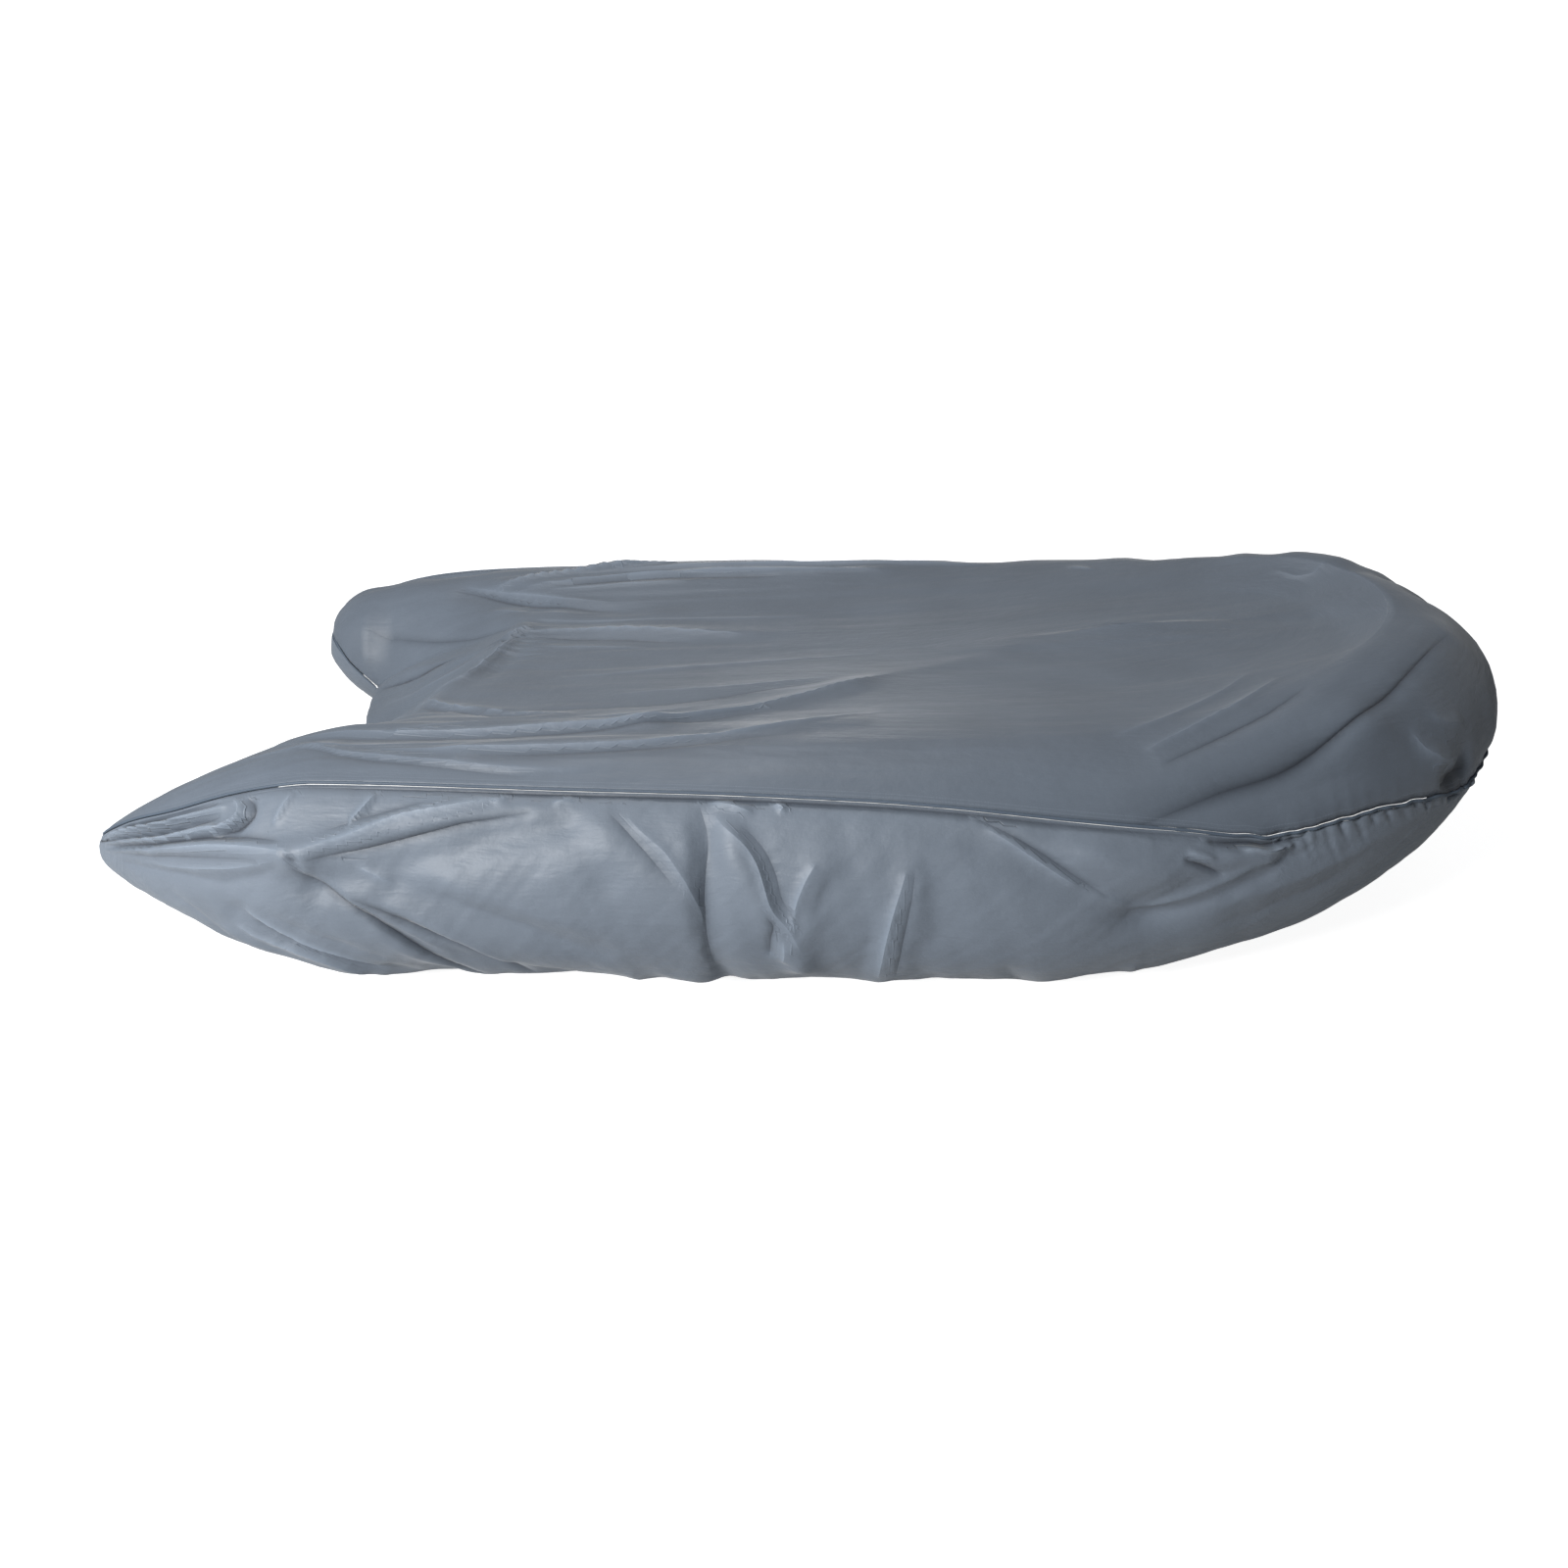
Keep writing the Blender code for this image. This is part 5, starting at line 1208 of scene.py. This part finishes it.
def crinkle_group():
    """Crinkles of coated cloth: long thin ridges, one minus the size of noise stretched along the
    cloth, and short ones across them. Puts out one height from 0 to 1."""
    group, coming, send = new_group("Cloth crinkles", {"Cloth": None, "Stretch": 0.2}, ("Height",))
    place = split(group, coming["Cloth"])
    drawn = add(group, "CombineXYZ", X=maths(group, "MULTIPLY", place["X"], coming["Stretch"]),
                Y=place["Y"])
    long_lines = noise(group, drawn.outputs[0], 26.0, 4.0, 0.55)
    ridge = maths(group, "SUBTRACT", 1.0, maths(group, "ABSOLUTE", maths(
        group, "MULTIPLY_ADD", long_lines, 2.0, -1.0)))
    small = noise(group, coming["Cloth"], 42.0, 3.0, 0.6)
    send("Height", maths(group, "MULTIPLY_ADD", ridge, 0.6, maths(group, "MULTIPLY", small, 0.4)))
    return group


def crease_group():
    """Sharp lines along the creases: a height that is largest on the line and falls off as the
    exponential of the distance over the width, up for ridges and down for gutters, and painted light
    that is 1 for a painted highlight on a ridge, 0 for painted shade in a gutter and half elsewhere."""
    group, coming, send = new_group("Crease lines", {"Creases": None, "Width": 0.0035},
                                    ("Height", "Painted light"))
    known = split(group, coming["Creases"])
    off = maths(group, "DIVIDE", maths(group, "ABSOLUTE", known["X"]), coming["Width"])
    fall, broad = (maths(group, "MULTIPLY", maths(group, "EXPONENT", maths(
        group, "MULTIPLY", off, -share)), known["Y"]) for share in (1.0, PAINTED_LIGHT_SHARE))
    send("Height", fall)
    send("Painted light", maths(group, "MULTIPLY_ADD", broad, 0.5, 0.5))
    return group


def stitch_group():
    """A row of stitches beside an edge: dashes at a fixed distance from it. Puts out a mask that is
    1 on the thread and falls to 0 at its width."""
    group, coming, send = new_group(
        "Stitch row", {"Rim": None, "Distance": 0.008, "Pitch": 0.0045, "Width": 0.0007}, ("Mask",))
    place = split(group, coming["Rim"])
    off = maths(group, "ABSOLUTE", maths(group, "SUBTRACT", place["Y"], coming["Distance"]))
    line = maths(group, "SUBTRACT", 1.0, maths(group, "DIVIDE", off, coming["Width"]), clamp=True)
    dash = maths(group, "FRACT", maths(group, "DIVIDE", place["X"], coming["Pitch"]))
    send("Mask", maths(group, "MULTIPLY", line, maths(group, "LESS_THAN", dash, STITCH_SHARE)))
    return group


def shared(tree, name, make, **values):
    """Places a node group, built once, with its own values or links; returns what comes out."""
    node = tree.nodes.new("ShaderNodeGroup")
    node.node_tree = bpy.data.node_groups.get(name) or make()
    for label, value in values.items():
        give(tree, value, node.inputs[label])
    return node.outputs


def new_paint(name):
    """A material with its node tree and shader."""
    paint = bpy.data.materials.new(name)
    paint.use_nodes = True
    return paint, paint.node_tree, paint.node_tree.nodes["Principled BSDF"]


def shade(colour, share):
    """A colour times a share."""
    return tuple(share * part for part in colour)


def cloth_material(name, colour, stitch_at, crinkle_depth):
    """Coated cloth: uneven grey, painted highlight on the crease ridges and painted shade in their
    gutters, satin gloss that varies with the crinkles, relief of crease lines, crinkles and weave,
    and rows of stitches beside the sewn edge."""
    paint, tree, shader = new_paint(name)
    cloth = uv_map(tree, "Cloth")
    weave = shared(tree, "Coated weave", weave_group, Cloth=cloth)
    crinkles = shared(tree, "Cloth crinkles", crinkle_group, Cloth=cloth)
    lines = shared(tree, "Crease lines", crease_group, Creases=uv_map(tree, "Creases"))
    rim = uv_map(tree, "Rim")
    thread = maths(tree, "MAXIMUM", *(shared(tree, "Stitch row", stitch_group, Rim=rim,
                                             Distance=distance)["Mask"] for distance in stitch_at))
    plain = ramp(tree, weave["Tone"], (0.25, shade(colour, 0.92 / PLAIN)),
                 (0.75, shade(colour, 1.08 / PLAIN)))
    # painted light: crease ridges lighter as a painted highlight, gutters darker as painted shade
    painted_light = ramp(tree, lines["Painted light"], (0.0, shade(GUTTER_SHADE, PLAIN)), (0.5, (PLAIN,) * 3),
                (1.0, (1.0,) * 3))
    tone = mix(tree, "MIX", thread, mix(tree, "MULTIPLY", 1.0, plain, painted_light),
               (*shade(colour, THREAD_SHADE), 1.0))
    give(tree, tone, shader.inputs["Base Color"])
    give(tree, maths(tree, "MULTIPLY_ADD", crinkles["Height"], 0.18, 0.41),
         shader.inputs["Roughness"])
    shader.inputs["Specular IOR Level"].default_value = 0.38
    shader.inputs["Sheen Weight"].default_value = 0.12
    shader.inputs["Sheen Roughness"].default_value = 0.4
    sharp = add(tree, "Bump", Strength=1.0, Distance=LINE_DEPTH, Height=lines["Height"])
    coarse = add(tree, "Bump", Strength=0.75, Distance=crinkle_depth, Height=crinkles["Height"],
                 Normal=sharp.outputs["Normal"])
    fine = add(tree, "Bump", Strength=0.35, Distance=WEAVE_DEPTH,
               Height=maths(tree, "MULTIPLY_ADD", thread, 1.2, weave["Height"]),
               Normal=coarse.outputs["Normal"])
    give(tree, fine.outputs["Normal"], shader.inputs["Normal"])
    return paint


def welt_material(name, colour):
    """Seam cord: the same cloth wrapped on the slant, in a darker grey that is painted shade along
    the seam, with the ribs of the cord showing through.
    """
    paint, tree, shader = new_paint(name)
    cloth = uv_map(tree, "Cloth")
    weave = shared(tree, "Coated weave", weave_group, Cloth=cloth)
    place = split(tree, cloth)
    slant = maths(tree, "ADD", place["X"], place["Y"])
    ribs = maths(tree, "MULTIPLY_ADD", maths(tree, "SINE", maths(
        tree, "MULTIPLY", slant, 2 * pi / RIB_PITCH)), 0.5, 0.5)
    give(tree, ramp(tree, weave["Tone"], (0.0, shade(colour, 0.86)), (1.0, shade(colour, 1.10))),
         shader.inputs["Base Color"])
    give(tree, maths(tree, "MULTIPLY_ADD", weave["Tone"], 0.15, 0.52), shader.inputs["Roughness"])
    shader.inputs["Specular IOR Level"].default_value = 0.30
    bump = add(tree, "Bump", Strength=0.3, Distance=0.0002,
               Height=maths(tree, "ADD", ribs, weave["Height"]))
    give(tree, bump.outputs["Normal"], shader.inputs["Normal"])
    return paint


def floor_material(colour):
    """Pale studio floor: an even matt white that glows a little where it is looked at."""
    paint, tree, shader = new_paint("Studio floor")
    shader.inputs["Base Color"].default_value = (*colour, 1.0)
    seen = tree.nodes.new("ShaderNodeLightPath")
    give(tree, seen.outputs["Is Camera Ray"], shader.inputs["Emission Color"])
    shader.inputs["Emission Strength"].default_value = FLOOR_GLOW
    place = tree.nodes.new("ShaderNodeTexCoord").outputs["Object"]
    give(tree, maths(tree, "MULTIPLY_ADD", noise(tree, place, 1.5), 0.1, 0.75),
         shader.inputs["Roughness"])
    return paint


# ---- settings --------------------------------------------------------------------------------
class BoatCoverSizes(bpy.types.PropertyGroup):
    top_step: bpy.props.FloatProperty(
        name="Top rows", description="Distance between the cross rows of the top panel",
        default=0.0115, min=0.008, max=0.05, unit="LENGTH")
    near_step: bpy.props.FloatProperty(
        name="Near band rows", description="Distance between the cross rows of the near band",
        default=0.0058, min=0.005, max=0.05, unit="LENGTH")
    far_step: bpy.props.FloatProperty(
        name="Far band rows", description="Distance between the cross rows of the far band",
        default=0.0098, min=0.008, max=0.05, unit="LENGTH")
    cloth: bpy.props.FloatProperty(
        name="Cloth", description="Thickness of the cloth sheets", default=0.0014, min=0.0005,
        max=0.002, unit="LENGTH")
    welt: bpy.props.FloatProperty(
        name="Seam cord", description="Radius of the seam cords", default=WELT, min=0.002,
        max=0.004, unit="LENGTH")


class BoatCoverColours(bpy.types.PropertyGroup):
    # the top panel's darker grey is painted shade and the bands' lighter grey painted light, on one
    # cloth
    top: bpy.props.FloatVectorProperty(
        name="Top panel", description="Colour of the top panel, which is cut along the cloth",
        default=TOP_SHADED_GREY, min=0.0, max=1.0, subtype="COLOR")
    band: bpy.props.FloatVectorProperty(
        name="Side bands", description="Colour of the side bands, which are cut across the cloth",
        default=BAND_LIT_GREY, min=0.0, max=1.0, subtype="COLOR")
    # the seam cord's default grey is darkened as painted shade along the seam
    welt: bpy.props.FloatVectorProperty(
        name="Seam cord", description="Colour of the seam cords", default=WELT_SHADED_GREY, min=0.0,
        max=1.0, subtype="COLOR")
    floor: bpy.props.FloatVectorProperty(
        name="Floor", description="Colour of the studio floor", default=FLOOR_WHITE, min=0.0,
        max=1.0, subtype="COLOR")


def finish_piece(item, node, paint):
    """Gives a piece its material and its place on the frame; hides the CAD node it stands for."""
    item.data.materials.append(paint)
    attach(item, "root")
    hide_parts(node)


class BOATCOVER_OT_top(bpy.types.Operator):
    """Build the top panel with its tongues and stern flap"""
    bl_idname = "boatcover.top"
    bl_label = "Top panel"

    def execute(self, context):
        sizes, colours = context.scene.boat_cover_sizes, context.scene.boat_cover_colours
        item = cloth_item("top_cloth", top_blocks(sizes.top_step), sizes.cloth, 0.5)
        paint = cloth_material("Top cloth", tuple(colours.top), TOP_STITCHES, TOP_CRINKLE)
        finish_piece(item, "top_panel", paint)
        return {"FINISHED"}


class BOATCOVER_OT_bands(bpy.types.Operator):
    """Build the two side bands with their hems"""
    bl_idname = "boatcover.bands"
    bl_label = "Side bands"

    def execute(self, context):
        sizes, colours = context.scene.boat_cover_sizes, context.scene.boat_cover_colours
        paint = cloth_material("Band cloth", tuple(colours.band), BAND_STITCHES, BAND_CRINKLE)
        for side, step, name, node in (
                (NEAR, sizes.near_step, "band_cloth_near", "side_band_near"),
                (FAR, sizes.far_step, "band_cloth_far", "side_band_far")):
            item = cloth_item(name, band_blocks(side, step), sizes.cloth, 0.0)
            finish_piece(item, node, paint)
        return {"FINISHED"}


class BOATCOVER_OT_welts(bpy.types.Operator):
    """Build the two seam cords"""
    bl_idname = "boatcover.welts"
    bl_label = "Seam cords"

    def execute(self, context):
        sizes, colours = context.scene.boat_cover_sizes, context.scene.boat_cover_colours
        paint = welt_material("Seam cord", tuple(colours.welt))
        for name, node, line in zip(("welt_cord_near", "welt_cord_far"), ("welt_near", "welt_far"),
                                    welt_lines(sizes.near_step)):
            item = cord_item(name, line, sizes.welt)
            finish_piece(item, node, paint)
        return {"FINISHED"}


class BOATCOVER_OT_stage(bpy.types.Operator):
    """Build the floor, the lights and the camera"""
    bl_idname = "boatcover.stage"
    bl_label = "Stage"

    def execute(self, context):
        build_floor(context)
        build_lights(context)
        build_camera(context)
        return {"FINISHED"}


def build_floor(context):
    """Studio bowl: a flat round floor at the hem's lowest point, turning up into a low wall all
    round. Its profile is a straight run and then a quarter circle, carried round the middle."""
    low = min(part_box(node)[0][2] for node in ("side_band_near", "side_band_far")) - 0.001
    bend = np.linspace(0.0, pi / 2, BOWL_STEPS)
    reach = np.concatenate([BOWL_RINGS, BOWL_FLAT + BOWL_BEND * np.sin(bend),
                            [BOWL_FLAT + BOWL_BEND]])
    rise = np.concatenate([[0.0] * len(BOWL_RINGS), BOWL_BEND * (1.0 - np.cos(bend)), [BOWL_WALL]])
    turn = np.arange(BOWL_SIDES) * 2 * pi / BOWL_SIDES
    ring = np.stack([reach[:, None] * np.cos(turn), reach[:, None] * np.sin(turn),
                     np.broadcast_to(low + rise[:, None], (len(reach), BOWL_SIDES))], -1)
    mesh = make_mesh("floor", ring.reshape(-1, 3),
                     cells(closed_ring(len(reach), BOWL_SIDES)).tolist(), {}, turn=False)
    mesh.materials.append(floor_material(tuple(context.scene.boat_cover_colours.floor)))
    floor = place_item("floor", mesh)


def build_lights(context):
    """Three large soft lights and an even pale surround."""
    for name, (place, aim, width, power) in LIGHTS.items():
        lamp = bpy.data.lights.new(name, "AREA")
        lamp.shape = "DISK"
        lamp.size = width
        lamp.energy = power
        item = place_item(name, lamp)
        item.location = place
        item.rotation_euler = (Vector(aim) - Vector(place)).to_track_quat("-Z", "Y").to_euler()
    world = bpy.data.worlds.new("Studio")
    world.use_nodes = True
    world.node_tree.nodes["Background"].inputs["Color"].default_value = (*SKY, 1.0)
    world.node_tree.nodes["Background"].inputs["Strength"].default_value = SKY_STRENGTH
    context.scene.world = world


def build_camera(context):
    """Camera on a sphere round its target, turned a little about its own axis."""
    azimuth, elevation, roll = CAMERA["azimuth"], CAMERA["elevation"], CAMERA["roll"]
    back = Vector((sin(azimuth) * cos(elevation), -cos(azimuth) * cos(elevation), sin(elevation)))
    right = (-back).cross(Vector((0.0, 0.0, 1.0))).normalized()
    up = right.cross(-back)
    across = right * cos(roll) + up * sin(roll)
    upward = up * cos(roll) - right * sin(roll)
    eye = Vector(CAMERA["target"]) + back * CAMERA["distance"] - Vector(zero())
    data = bpy.data.cameras.new("Camera")
    data.lens = CAMERA["lens"]
    data.sensor_width = CAMERA["sensor"]
    data.clip_start, data.clip_end = CAMERA["clip"]
    item = place_item("Camera", data)
    item.matrix_world = (Matrix.Translation(eye)
                         @ Matrix((across, upward, back)).transposed().to_4x4())
    context.scene.camera = item
    context.scene.view_settings.view_transform = "Standard"


class BOATCOVER_PT_panel(bpy.types.Panel):
    """Sizes, colours and the pieces of the cover"""
    bl_idname = "BOATCOVER_PT_panel"
    bl_label = "Boat cover"
    bl_space_type = "VIEW_3D"
    bl_region_type = "UI"
    bl_category = "Boat cover"

    def draw(self, context):
        for group in (context.scene.boat_cover_sizes, context.scene.boat_cover_colours):
            for name in group.__annotations__:
                self.layout.prop(group, name)
        for operator in OPERATORS:
            self.layout.operator(operator.bl_idname)


OPERATORS = (BOATCOVER_OT_top, BOATCOVER_OT_bands, BOATCOVER_OT_welts, BOATCOVER_OT_stage)
CLASSES = (BoatCoverSizes, BoatCoverColours) + OPERATORS + (BOATCOVER_PT_panel,)


def register():
    for item in CLASSES:
        bpy.utils.register_class(item)
    bpy.types.Scene.boat_cover_sizes = bpy.props.PointerProperty(type=BoatCoverSizes)
    bpy.types.Scene.boat_cover_colours = bpy.props.PointerProperty(type=BoatCoverColours)


def unregister():
    del bpy.types.Scene.boat_cover_colours
    del bpy.types.Scene.boat_cover_sizes
    for item in reversed(CLASSES):
        bpy.utils.unregister_class(item)


def main():
    register()
    bpy.ops.boatcover.top()
    bpy.ops.boatcover.bands()
    bpy.ops.boatcover.welts()
    bpy.ops.boatcover.stage()
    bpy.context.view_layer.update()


if __name__ == "__main__":
    main()
